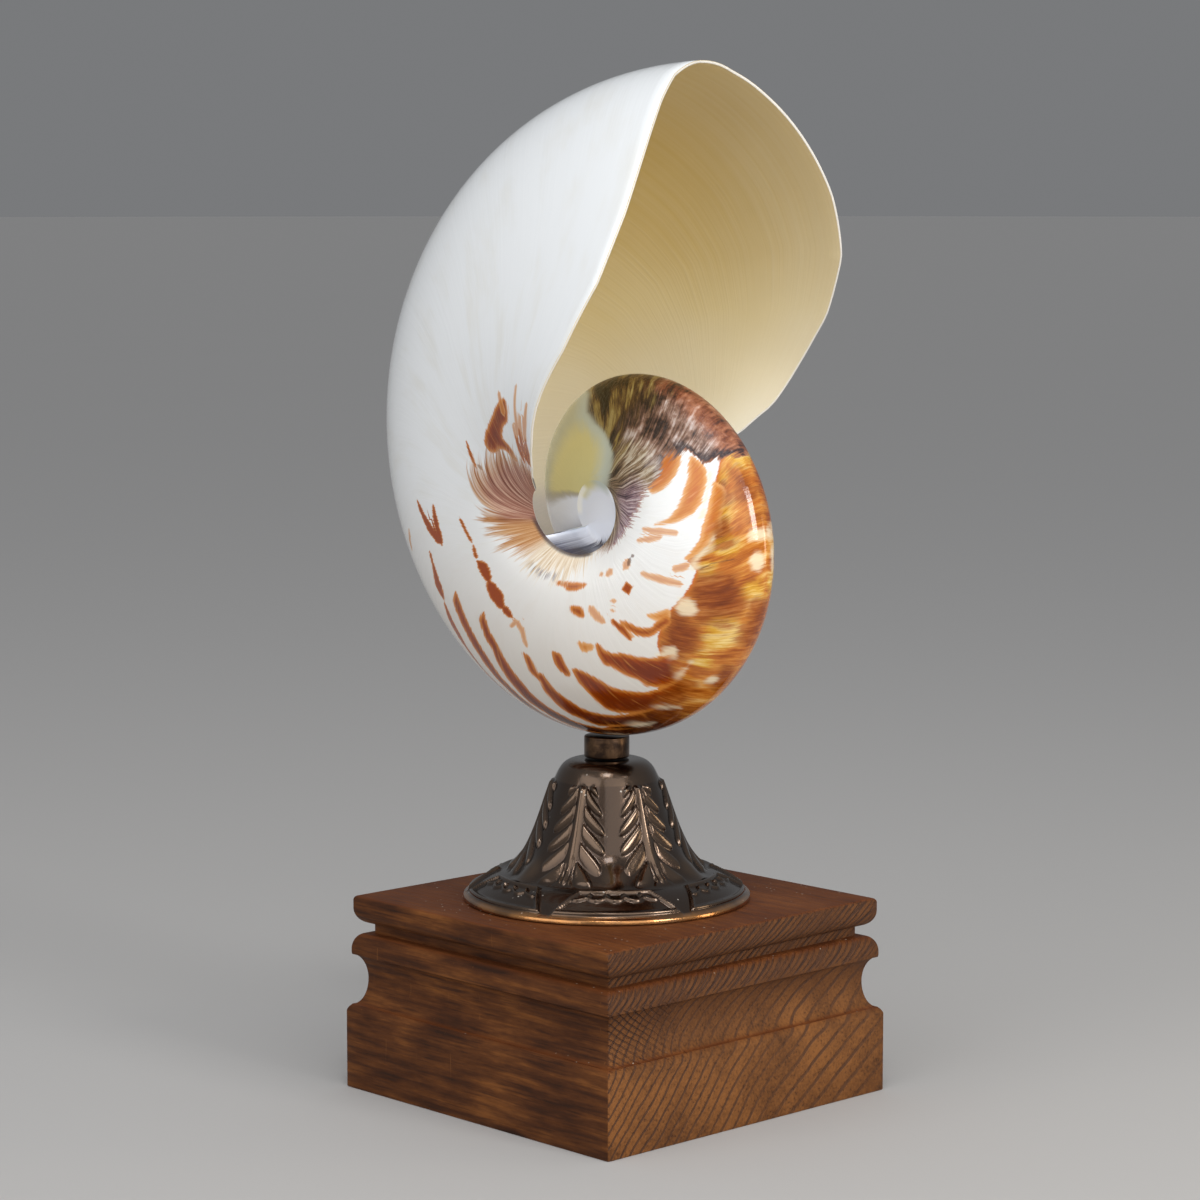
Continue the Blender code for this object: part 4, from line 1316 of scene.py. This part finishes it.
@dataclass
class NautilusShell:
    """The whole shell as one dense closed surface, with its marks as fields on its points."""

    form: ShellForm
    near_columns: int = 100
    far_columns: int = 56
    inner_step: float = 3.0
    lip_steps: int = 4
    lip_bulge: float = 0.35
    row_stretches: Tuple[Tuple[float, float, float], ...] = (
        (-500.0, -360.0, 1.4), (-360.0, -210.0, 0.8), (-210.0, -100.0, 0.5),
        (-100.0, -35.0, 2.0))
    pit_rings: Tuple[float, ...] = (0.94, 0.86, 0.76, 0.62, 0.44, 0.24)
    wall_bows: Tuple[Tuple[float, float], ...] = (
        (0.15, 0.0042), (0.35, 0.0075), (0.55, 0.0078), (0.75, 0.0060), (0.90, 0.0030))
    FIELDS = ("line", "span", "lip", "ring", "bearing", "hair", "amber", "film", "nacre", "fan",
              "rust", "crescent", "gap", "gold", "blush", "stroke_off", "stroke_half", "golden_off",
              "golden_half", "dark_off", "dark_half")

    def rows(self) -> np.ndarray:
        """Growth angles of the outside's rows beside the pit, close where marks are fine."""
        parts = [np.linspace(a, b, round((b - a) / step) + 1)[:-1]
                 for a, b, step in self.row_stretches]
        return np.append(np.concatenate(parts), self.form.lip_end)

    def spans(self) -> np.ndarray:
        """Signed fractions of the columns: -1 at the far pit, 0 on the keel, 1 at the near pit."""
        far = np.linspace(-1.0, 0.0, self.far_columns + 1)
        near = np.linspace(0.0, 1.0, self.near_columns + 1)
        return np.concatenate([far[:-1], near])

    def measures(self, growth: np.ndarray, wall: float) -> np.ndarray:
        """Radius, width and flank length at every growth angle of a grid, inside a wall."""
        angles = np.arange(math.floor(growth.min()) - 1.0, math.ceil(growth.max()) + 2.0)
        table = np.array([self.form.curve(g, wall, np.abs(self.spans())) for g in angles])
        return np.array([[np.interp(column, angles, table[:, c, part])
                          for c, column in enumerate(growth.T)]
                         for part in range(3)]).transpose(0, 2, 1)

    def grid(self, rows: np.ndarray, inner: bool) -> Dict[str, np.ndarray]:
        """Points of the outside or the lining over a set of rows.

        Args:
            rows: Growth angles beside the pit, in degrees.
            inner: True for the chamber's lining.

        Returns:
            The points and their bearing, fraction, radius, flank length, span and growth line.
        """
        form, spans = self.form, self.spans()
        fractions = np.abs(spans)
        share = smooth((rows - form.lip_end + form.lip_sweep) / form.lip_sweep)
        growth = rows[:, None] + (form.lip_ahead(fractions) - form.lip_end) * share[:, None]
        values = self.measures(growth, form.wall if inner else 0.0)
        if inner:
            thin = self.measures(growth, form.lip_wall)
            values = values + (thin - values) * share[:, None] ** 6
        radius, width, flank = values
        bearing = form.mouth_bearing - growth
        points = form.place(radius, bearing, width * np.where(spans < 0.0, -1.0, 1.0))
        return {"points": points, "bearing": bearing, "radius": radius, "flank": flank,
                "fraction": np.broadcast_to(fractions, growth.shape),
                "span": np.broadcast_to(spans, growth.shape),
                "line": growth - form.lip_ahead(fractions)}

    def fields(self, grid: Dict[str, np.ndarray]) -> Dict[str, np.ndarray]:
        """Draw every mark on both flanks.

        Args:
            grid: The outside's grid.

        Returns:
            One array for each field.
        """
        made = {"line": grid["line"], "span": grid["span"], "bearing": grid["bearing"],
                "ring": np.ones(grid["bearing"].shape)}
        flank = grid["flank"] / MILLIMETRE
        around = np.radians(grid["radius"] / MILLIMETRE)
        bearing, fraction = grid["bearing"], grid["fraction"]
        where, edge = zip(*FAN_EDGE)
        made["fan"] = (fraction - np.interp(bearing, where, edge)) * flank
        where, lean = zip(*FAN_LEAN)
        made["hair"] = bearing + (1.0 - fraction) * np.interp(bearing, where, lean)
        for name, table in (("film", FILM_EDGE), ("nacre", NACRE_EDGE)):
            where, edge = zip(*table)
            made[name] = (bearing - np.interp(fraction, where, edge)) * around
        draws = np.random.default_rng(20)
        areas = {"rust": FLAMES, "crescent": AMBER_FLAMES, "amber": (AMBER_EDGE,),
                 "gap": PALE_GAPS_AND_GLINTS, "gold": GOLD_PATCHES, "blush": SOFT_RUST}
        lines = {"stroke": BRUSH_STROKES, "golden": GOLDEN_STROKES, "dark": DARK_SPOTS}
        halves = {Side.NEAR: np.s_[:, self.far_columns:], Side.FAR: np.s_[:, :self.far_columns]}
        for side, part in halves.items():
            places = MarkedPlaces(bearing[part], fraction[part], around[part], flank[part])
            for name, outlines in areas.items():
                drawn = outlines if side is Side.NEAR else self.shifted(outlines, draws)
                whole = made.setdefault(name, np.zeros(fraction.shape))
                whole[part] = places.patches(drawn)
            for name, marks in lines.items():
                drawn = marks if side is Side.NEAR else self.shifted(marks, draws)
                offset = made.setdefault(name + "_off", np.zeros(fraction.shape))
                half = made.setdefault(name + "_half", np.zeros(fraction.shape))
                offset[part], half[part] = places.strokes(drawn)
        return made

    @staticmethod
    def shifted(marks: Sequence[Outline], draws: np.random.Generator) -> List[Outline]:
        """The same marks moved a little, for the other flank."""
        moved = []
        for mark in marks:
            reach = 0.0 if min(point[1] for point in mark) < 0.06 else 1.0
            ahead, out = draws.normal(0.0, 1.6) * reach, draws.normal(0.0, 0.014) * reach
            moved.append(tuple((point[0] + ahead, point[1] + out, *point[2:]) for point in mark))
        return moved

    def pit(self, surface: Surface, ring: np.ndarray, growth: np.ndarray, side: Side) -> np.ndarray:
        """Wall and floor of a pit from one full turn of the flank's inner edge.

        Args:
            surface: What the faces are added to.
            ring: Point numbers of the turn.
            growth: Growth angle of each point of the turn.
            side: The flank that the pit is on.

        Returns:
            Point numbers of the ring at the foot of the wall.
        """
        form = self.form
        turns = growth[:-1]
        bearing = form.mouth_bearing - turns
        upper = form.width_of(surface.points()[ring[:-1]]) * side.value
        rows = [ring]
        least, more = form.pit_steepness
        for share in self.pit_rings:
            lean = np.cos(np.radians(bearing - form.pit_tilt_bearing))
            tilt = form.pit_floor_tilt * share * lean
            deep = upper - form.pit_floor - tilt
            steepness = least + more * smooth((deep / MILLIMETRE - form.pit_steep_from)
                                              / form.pit_steep_over)
            width = form.pit_floor + tilt + deep * share ** steepness
            floor = form.place(form.pit_radius * share, bearing, side.value * width)
            numbers = surface.add(floor, {"ring": np.full(len(turns), share), "bearing": bearing})
            rows.append(np.append(numbers, numbers[0]))
        middle = form.place(np.zeros(1), np.zeros(1), np.array([side.value * form.pit_floor]))
        centre = surface.add(middle)[0]
        surface.sheet(np.array(rows), Face.PIT.value)
        surface.fan(rows[-1], centre, Face.PIT.value)
        return rows[3]

    def lip(self, surface: Surface, outer_edge: np.ndarray, inner_edge: np.ndarray) -> np.ndarray:
        """The rounded edge of the mouth, run as one loop over the keel and down beside both pits.

        Args:
            surface: What the faces are added to.
            outer_edge: Point numbers along the outside's edge.
            inner_edge: Point numbers along the lining's edge.

        Returns:
            Point numbers of the loop's rows, from the outside to the lining.
        """
        points = surface.points()
        outer, inner = points[outer_edge], points[inner_edge]
        matched = np.column_stack([np.interp(shares_along(outer), shares_along(inner), part)
                                   for part in inner.T])
        middle, thick = (outer + matched) / 2, outer - matched
        proud = unit(np.cross(np.gradient(middle, axis=0), thick))
        keel = len(outer) // 2
        if np.dot(proud[keel], outer[keel] - outer.mean(axis=0)) < 0.0:
            proud = -proud
        beside = np.abs(np.arange(len(outer)) - keel) > len(self.spans()) // 2 - 4
        rows = [outer_edge]
        for k in range(1, self.lip_steps):
            angle = math.pi * k / self.lip_steps
            bulge = self.form.lip_wall * self.lip_bulge * math.sin(angle)
            row = middle + thick * 0.5 * math.cos(angle) + proud * bulge
            rows.append(surface.add(row, {"lip": np.full(len(row), 2.0),
                                          "ring": beside.astype(float),
                                          "bearing": self.form.bearing_of(row)}))
        surface.sheet(np.array(rows), Face.CHAMBER.value)
        surface.seam(rows[-1], inner_edge, Face.CHAMBER.value)
        return np.array(rows)

    def back_wall(self, surface: Surface, inner_row: np.ndarray,
                  outer_row: np.ndarray) -> List[np.ndarray]:
        """The curved wall that closes the body chamber, bowed back towards the older coil."""
        points = surface.points()
        start, end = points[inner_row], points[outer_row]
        behind = self.form.mouth_bearing + self.form.chamber_depth + 90.0
        origin, ahead = self.form.place(np.array([0.0, 1.0]), np.full(2, behind), np.zeros(2))
        back = ahead - origin
        rows = [inner_row]
        for part, depth in self.wall_bows:
            bow = depth * np.sqrt(1.0 - self.spans() ** 2)
            row = start + (end - start) * part + bow[:, None] * back
            rows.append(surface.add(row, {"span": self.spans(), "ring": np.ones(len(row)),
                                          "bearing": self.form.bearing_of(row)}))
        rows.append(outer_row)
        surface.sheet(np.array(rows), Face.CHAMBER.value)
        return rows

    def build(self) -> bpy.types.Object:
        """Build and dress the shell."""
        form = self.form
        surface = Surface(self.FIELDS)
        rows = self.rows()
        outside = self.grid(rows, inner=False)
        outer = surface.add(outside["points"], self.fields(outside))
        steps = round((form.chamber_depth + form.lip_end) / self.inner_step)
        inner_rows = np.linspace(-form.chamber_depth, form.lip_end, steps + 1)
        lining = self.grid(inner_rows, inner=True)
        nearness = np.broadcast_to(((inner_rows + form.chamber_depth)
                                    / (form.lip_end + form.chamber_depth))[:, None],
                                   lining["span"].shape)
        inner = surface.add(lining["points"], {"line": lining["line"], "span": lining["span"],
                                               "lip": nearness})
        surface.sheet(outer, Face.OUTSIDE.value)
        surface.sheet(inner, Face.CHAMBER.value)
        start = int(np.argmin(np.abs(rows + form.chamber_depth)))
        mouth = outer[start:]
        outer_edge = np.concatenate([mouth[:-1, 0], mouth[-1], mouth[-2::-1, -1]])
        inner_edge = np.concatenate([inner[:-1, 0], inner[-1], inner[-2::-1, -1]])
        lip = self.lip(surface, outer_edge, inner_edge)
        back = self.back_wall(surface, inner[0], outer[0])
        for column, side in ((0, Side.FAR), (-1, Side.NEAR)):
            foot = self.pit(surface, outer[:start + 1, column], rows[:start + 1], side)
            loop = [row[column] for row in back[::-1]] + [row[column] for row in lip[::-1]]
            surface.fan(loop, foot[0], Face.PIT.value)
        finishes = [PolishedShell().material(), ChamberNacre().material(), NavelNacre().material()]
        item = surface.make("nautilus_shell", finishes, crease=75.0)
        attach(item, "root")
        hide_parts("shell")
        return item


@dataclass
class BellFoot:
    """Cast bell with six hanging leaves over a skirt with six framed panels."""

    centre: Tuple[float, float] = (-0.0014, -0.0015)
    bottom: float = 0.0515
    top: float = 0.0880
    shoulder: Tuple[float, float] = (0.0136, 0.0828)
    waist: Tuple[float, float] = (0.0275, 0.0580)
    skirt: Tuple[float, float] = (0.0359, 0.0532)
    rim: Tuple[float, float] = (0.0375, 0.0527)
    leaves: int = 6
    bearing: float = math.radians(-9.5)
    lobes: int = 5
    bays: int = 5
    relief: float = 0.0010
    boss_height: float = 0.0605
    boss_reach: Tuple[float, float] = (0.0034, 0.0032)
    neck: float = 0.0070
    shoulder_handles: Tuple[Tuple[float, float], ...] = ((0.0110, 0.0880), (0.0122, 0.0862))
    bell_handles: Tuple[Tuple[float, float], ...] = ((0.0174, 0.0728), (0.0198, 0.0605))
    skirt_handles: Tuple[Tuple[float, float], ...] = ((0.0302, 0.0573), (0.0335, 0.0553))
    rim_rounding: Tuple[Tuple[float, float], ...] = (
        (-0.0006, 0.00002), (-0.0003, -0.00003), (-0.0001, -0.0002), (0.0, -0.0004))
    leaf_half: Tuple[float, float] = (0.0036, 0.0054)
    rib_half: Tuple[float, float] = (0.0009, 0.0011)
    rib_split: float = 0.30
    strand_pitch: float = 0.0014
    lobe_droop: float = 1.5
    lobe_half: float = 0.46
    panel_half: Tuple[float, float] = (18.5, 9.5)
    frame_middle: float = 0.0008
    frame_half: float = 0.00052
    scallop_half: float = 0.00048
    segments: int = 600

    def outline(self) -> Tuple[np.ndarray, np.ndarray]:
        """The outline from top to rim, with a part number for each point.

        Returns:
            Radius and height of each point, and 0 for the shoulder, 1 for the bell, 2 for the
            skirt and 3 for the rim.
        """
        lines = [bezier((self.neck, self.top), *self.shoulder_handles, self.shoulder, 10),
                 bezier(self.shoulder, *self.bell_handles, self.waist, 84)[1:],
                 bezier(self.waist, *self.skirt_handles, self.skirt, 48)[1:],
                 np.vstack([np.array(self.rim) + self.rim_rounding, (self.rim[0], self.bottom)])]
        return np.vstack(lines), np.repeat(range(len(lines)), [len(line) for line in lines])

    def leaf(self, angle: np.ndarray, radius: float, height: float) -> np.ndarray:
        """Rise of a hanging leaf: a tapering mid-rib and pointed drooping lobes on both sides."""
        down = (self.shoulder[1] - height) / (self.shoulder[1] - self.waist[1] - 0.001)
        across = np.abs(angle) * radius
        spread = math.sin(min(max(down, 0.0) * 1.1, 1.0) * math.pi / 2)
        out = across / (self.leaf_half[0] + self.leaf_half[1] * spread)
        thick = self.rib_half[0] + self.rib_half[1] * max(down, 0.0)
        split = float(smooth((down - 0.70) / 0.25)) * self.rib_split
        strands = np.cos(2 * math.pi * across / self.strand_pitch)
        rib = np.exp(-(across / thick) ** 2) * (1.0 - split + split * strands)
        phase = self.lobes * down - self.lobe_droop * out ** 0.9
        offset = phase - np.round(phase)
        width = self.lobe_half * np.sqrt(np.clip(1.0 - out ** 3.0, 1e-4, 1.0))
        lobe = np.sqrt(np.clip(1.0 - (offset / width) ** 2, 0.0, 1.0)) * (0.82 - 0.7 * offset)
        lobe = lobe * smooth((across - thick * 0.6) / 0.0011) * smooth((1.0 - out) / 0.12)
        ends = float(smooth(down / 0.05) * smooth((1.03 - down) / 0.05))
        return np.maximum(rib, lobe) * ends

    def boss(self, angle: np.ndarray, radius: float, height: float) -> np.ndarray:
        """Rise of the soft swelling at the foot of the plain tongue between two leaves."""
        across = angle * radius / self.boss_reach[0]
        return np.exp(-across ** 2 - ((height - self.boss_height) / self.boss_reach[1]) ** 2)

    def panel(self, angle: np.ndarray, radius: float) -> np.ndarray:
        """Rise of a framed panel on the skirt, with a scalloped and beaded inner edge."""
        run = self.skirt[0] - self.waist[0]
        along = (radius - self.waist[0]) / run
        half = math.radians(self.panel_half[0] + self.panel_half[1] * along)
        inside = (half - np.abs(angle)) * radius
        depth = np.minimum(inside, (along - 0.02) * run)
        depth = np.minimum(depth, (1.03 - along) * run)
        bar = np.exp(-((depth - self.frame_middle) / self.frame_half) ** 2)
        share = np.clip(angle / half, -1.0, 1.0)
        bays = np.abs(np.sin(share * self.bays / 2 * math.pi + self.bays % 2 * math.pi / 2))
        inner = smooth((inside - 0.0012) / 0.0008)
        edge = (along - 0.36 - 0.12 * bays) * run / self.scallop_half
        row = np.exp(-edge ** 2) * inner * 0.8
        bead = np.exp(-(bays / 0.34) ** 2) * math.exp(-((along - 0.28) / 0.12) ** 2) * inner
        return np.maximum.reduce([bar, row, bead]) * 0.85

    def build(self) -> bpy.types.Object:
        """Build and dress the foot."""
        outline, parts = self.outline()
        slope = np.gradient(outline, axis=0)
        normals = unit(np.column_stack([-slope[:, 1], slope[:, 0]]))
        pitch = 2 * math.pi / self.leaves
        turn = np.linspace(0.0, 2 * math.pi, self.segments, endpoint=False)
        leaf_angle = (turn + pitch / 2) % pitch - pitch / 2
        panel_angle = turn % pitch - pitch / 2
        rings, rises, rims = [], [], []
        for (radius, height), normal, part in zip(outline, normals, parts):
            rise = np.zeros(self.segments)
            if part == 1:
                rise = np.maximum(self.leaf(leaf_angle, radius, height),
                                  self.boss(panel_angle, radius, height))
            if part == 2:
                rise = self.panel(panel_angle, radius)
            r = radius + normal[0] * rise * self.relief
            z = height + normal[1] * rise * self.relief
            ahead = turn + self.bearing
            rings.append(np.stack([self.centre[0] + r * np.cos(ahead),
                                   self.centre[1] + r * np.sin(ahead), z], axis=-1))
            rises.append(rise if part in (1, 2) else rise + 0.5)
            rims.append(np.full(self.segments, 1.0 if part == 3 else 0.0))
        surface = Surface(("rise", "rim"))
        surface.stack(surface.add(np.array(rings), {"rise": np.array(rises),
                                                    "rim": np.array(rims)}))
        item = surface.make("bell_foot_casting", [DarkBronze().material()], crease=60.0)
        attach(item, "root")
        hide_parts("bell_foot")
        return item


@dataclass
class Collar:
    """Short turned sleeve between the bell and the shell."""

    centre: Tuple[float, float] = (-0.0014, -0.0015)
    bottom: float = 0.0883
    top: float = 0.0940
    radius: float = 0.0059
    easing: float = 0.0005
    segments: int = 96

    def build(self) -> bpy.types.Object:
        """Build and dress the sleeve."""
        edge = self.easing
        outline = np.vstack([
            arc((self.radius - edge, self.bottom + edge), (edge, edge), -90, 0, 5),
            arc((self.radius - edge, self.top - edge), (edge, edge), 0, 90, 5)])
        turn = np.linspace(0.0, 2 * math.pi, self.segments, endpoint=False)
        rings = [np.column_stack([self.centre[0] + r * np.cos(turn),
                                  self.centre[1] + r * np.sin(turn),
                                  np.full(self.segments, z)]) for r, z in outline]
        surface = Surface()
        surface.stack(surface.add(np.array(rings)))
        item = surface.make("collar_sleeve", [BrassSleeve().material()], crease=40.0)
        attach(item, "root")
        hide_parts("collar")
        return item


@dataclass
class Plinth:
    """One square wooden block with a cove, a bead, a fillet and a rounded slab round its edge."""

    side: float = 0.100
    height: float = 0.0512
    base_height: float = 0.0209
    cove_waist: float = 0.0292
    cove_depth: float = 0.0036
    bead_bottom: float = 0.0364
    bead_top: float = 0.0412
    fillet_top: float = 0.0437
    fillet_setback: float = 0.0054
    slab_setback: float = 0.0014
    foot_rounding: Tuple[Tuple[float, float], ...] = (
        (-0.0020, 0.0), (-0.0004, 0.0), (-0.0001, 0.0001), (0.0, 0.0004))
    base_rounding: Tuple[Tuple[float, float], ...] = (
        (0.0, -0.0004), (-0.0001, 0.0), (-0.0005, 0.0007))
    cove_setback: float = 0.0005
    cove_foot_setback: float = 0.0006
    cove_foot_rise: float = 0.0070
    cove_head: Tuple[float, float] = (0.0030, 0.0064)
    bead_radius: float = 0.0028
    bead_setback: float = 0.0038
    bead_easing: float = 0.0006
    bead_step: Tuple[float, float] = (-0.0010, -0.0002)
    groove_rise: float = 0.0001
    slab_under: Tuple[float, float] = (0.0034, 0.0040)
    slab_under_rise: float = 0.0042
    slab_easing: float = 0.0011
    corner: float = 0.0005
    side_cuts: int = 24

    def outline(self) -> np.ndarray:
        """The moulding's outline as half-width and height, from the underside to the top."""
        half = self.side / 2
        waist = half - self.cove_depth - self.cove_setback
        fillet = half - self.fillet_setback
        slab = half - self.slab_setback
        reach = self.cove_depth - self.cove_foot_setback
        run = self.bead_top - self.bead_bottom
        ease = self.slab_easing
        return np.vstack([
            np.array((half, 0.0)) + self.foot_rounding,
            (half, self.base_height * 0.5),
            np.array((half, self.base_height)) + self.base_rounding,
            arc((waist + reach, self.cove_waist), (reach, self.cove_foot_rise), 270, 180, 14),
            arc((waist + self.cove_head[0], self.cove_waist), self.cove_head, 180, 90, 14)[1:],
            (half + self.bead_step[0], self.bead_bottom + self.bead_step[1]),
            arc((half - self.bead_setback, self.bead_bottom + self.bead_easing),
                (self.bead_radius, run - self.bead_easing), 0, 90, 14),
            (fillet, self.bead_top + self.groove_rise), (fillet, self.fillet_top),
            arc((slab - self.slab_under[0], self.fillet_top + self.slab_under_rise),
                self.slab_under, -82, 0, 12),
            arc((slab - ease, self.height - ease), (ease, ease), 0, 90, 8)])

    def ring(self, half: float, height: float) -> np.ndarray:
        """A square ring with slightly eased corners."""
        points = []
        for quarter in range(4):
            turn = quarter * math.pi / 2
            inner = half - self.corner
            corner = arc((inner, inner), (self.corner, self.corner), 0, 90, 3)
            run = np.linspace(-inner, inner, self.side_cuts + 1)[1:-1]
            flat = np.vstack([corner, np.column_stack([-run, np.full(len(run), half)])])
            spun = np.column_stack([flat[:, 0] * math.cos(turn) - flat[:, 1] * math.sin(turn),
                                    flat[:, 0] * math.sin(turn) + flat[:, 1] * math.cos(turn)])
            points.append(spun)
        loop = np.vstack(points)
        return np.column_stack([loop, np.full(len(loop), height)])

    def build(self) -> bpy.types.Object:
        """Build and dress the plinth."""
        surface = Surface()
        surface.stack(surface.add(np.array([self.ring(s, h) for s, h in self.outline()])))
        item = surface.make("moulded_plinth", [OiledWood().material()], crease=35.0)
        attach(item, "root")
        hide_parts("plinth")
        return item


@dataclass(frozen=True)
class Lamp:
    """A soft rectangular lamp, with its power in watts."""

    name: str
    at: Tuple[float, float, float]
    aim: Tuple[float, float, float]
    size: Tuple[float, float]
    power: float
    tint: Colour

    def build(self) -> None:
        """Put the lamp up, turned to the point that it faces."""
        data = bpy.data.lights.new(self.name, "AREA")
        data.shape = "RECTANGLE"
        data.size, data.size_y = self.size
        data.energy = self.power
        data.color = self.tint
        item = bpy.data.objects.new(self.name, data)
        item.location = self.at
        way = np.array(self.aim) - np.array(self.at)
        item.rotation_euler = (math.atan2(math.hypot(way[0], way[1]), -way[2]), 0.0,
                               math.atan2(way[1], way[0]) - math.pi / 2)
        bpy.context.scene.collection.objects.link(item)


@dataclass
class Studio:
    """Camera, plain floor and soft lights."""

    eye: Tuple[float, float, float] = (0.63178, -0.60533, 0.22978)
    tilt: float = math.radians(83.45)
    pan: float = math.radians(46.475)
    lens: float = 102.0
    sensor: float = 36.0
    clip: Tuple[float, float] = (0.01, 300.0)
    floor_half: float = 90.0
    lamps: Tuple[Lamp, ...] = (
        Lamp("key", (1.05, -0.45, 0.62), (0.0, 0.0, 0.16), (1.0, 1.0), 3.9, (1.0, 0.98, 0.95)),
        Lamp("fill", (0.05, -1.15, 0.62), (0.0, 0.0, 0.17), (1.1, 1.1), 5.6, (1.0, 0.98, 0.96)),
        Lamp("strip", (0.90, 0.04, 0.36), (0.0, 0.0, 0.15), (0.24, 0.34), 3.8, (1.0, 0.98, 0.95)),
        Lamp("glint", (0.36, -0.35, 0.88), (0.0, 0.0, 0.06), (0.22, 0.22), 1.5, (0.96, 0.98, 1.0)),
        Lamp("low", (0.50, 0.42, 0.12), (0.0, 0.0, 0.08), (0.12, 0.20), 0.4, (1.0, 0.84, 0.60)))
    sky_tint: Colour = (0.95, 0.97, 1.0)
    sky_bright_way: Tuple[float, float, float] = (0.60, -0.52, 0.61)
    sky_reach: Tuple[float, float] = (-0.7, 0.8)
    sky_strength: Tuple[float, float] = (0.20, 0.52)

    def camera(self) -> None:
        """Place the camera."""
        data = bpy.data.cameras.new("eye")
        data.lens, data.sensor_width = self.lens, self.sensor
        data.clip_start, data.clip_end = self.clip
        item = bpy.data.objects.new("eye", data)
        item.location = self.eye
        item.rotation_euler = (self.tilt, 0.0, self.pan)
        bpy.context.scene.collection.objects.link(item)
        bpy.context.scene.camera = item

    def floor(self) -> None:
        """Lay the floor."""
        surface = Surface()
        line = np.linspace(-self.floor_half, self.floor_half, 9)
        xs, ys = np.meshgrid(line, line)
        surface.sheet(surface.add(np.stack([xs, ys, np.zeros_like(xs)], axis=-1)))
        item = surface.make("floor", [PaleFloor().material()])

    def lights(self) -> None:
        """Put up the lamps, and a soft light all round that is brighter on one side."""
        for lamp in self.lamps:
            lamp.build()
        world = bpy.data.worlds.new("studio")
        world.use_nodes = True
        sky = Wiring(world.node_tree)
        way = sky.add("ShaderNodeTexCoord")
        facing = sky.add("ShaderNodeVectorMath", {"operation": "DOT_PRODUCT"},
                         {0: way.outputs["Generated"], 1: self.sky_bright_way})
        strength = sky.add("ShaderNodeMapRange", None, {
            "Value": facing.outputs["Value"], "From Min": self.sky_reach[0],
            "From Max": self.sky_reach[1], "To Min": self.sky_strength[0],
            "To Max": self.sky_strength[1]})
        background = sky.add("ShaderNodeBackground", None,
                             {"Color": self.sky_tint, "Strength": strength.outputs[0]})
        sky.add("ShaderNodeOutputWorld", None, {"Surface": background.outputs[0]})
        bpy.context.scene.world = world

    def build(self) -> None:
        """Set up everything that isn't the object."""
        self.camera()
        self.floor()
        self.lights()
        bpy.context.scene.view_settings.view_transform = "Standard"


def main() -> None:
    """Build the pieces in order."""
    logging.basicConfig(level=logging.INFO, format="%(name)s: %(message)s")
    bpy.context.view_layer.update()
    Studio().build()
    for part in (Plinth(), BellFoot(), Collar(), NautilusShell(ShellForm())):
        report(part.build())


if __name__ == "__main__":
    main()
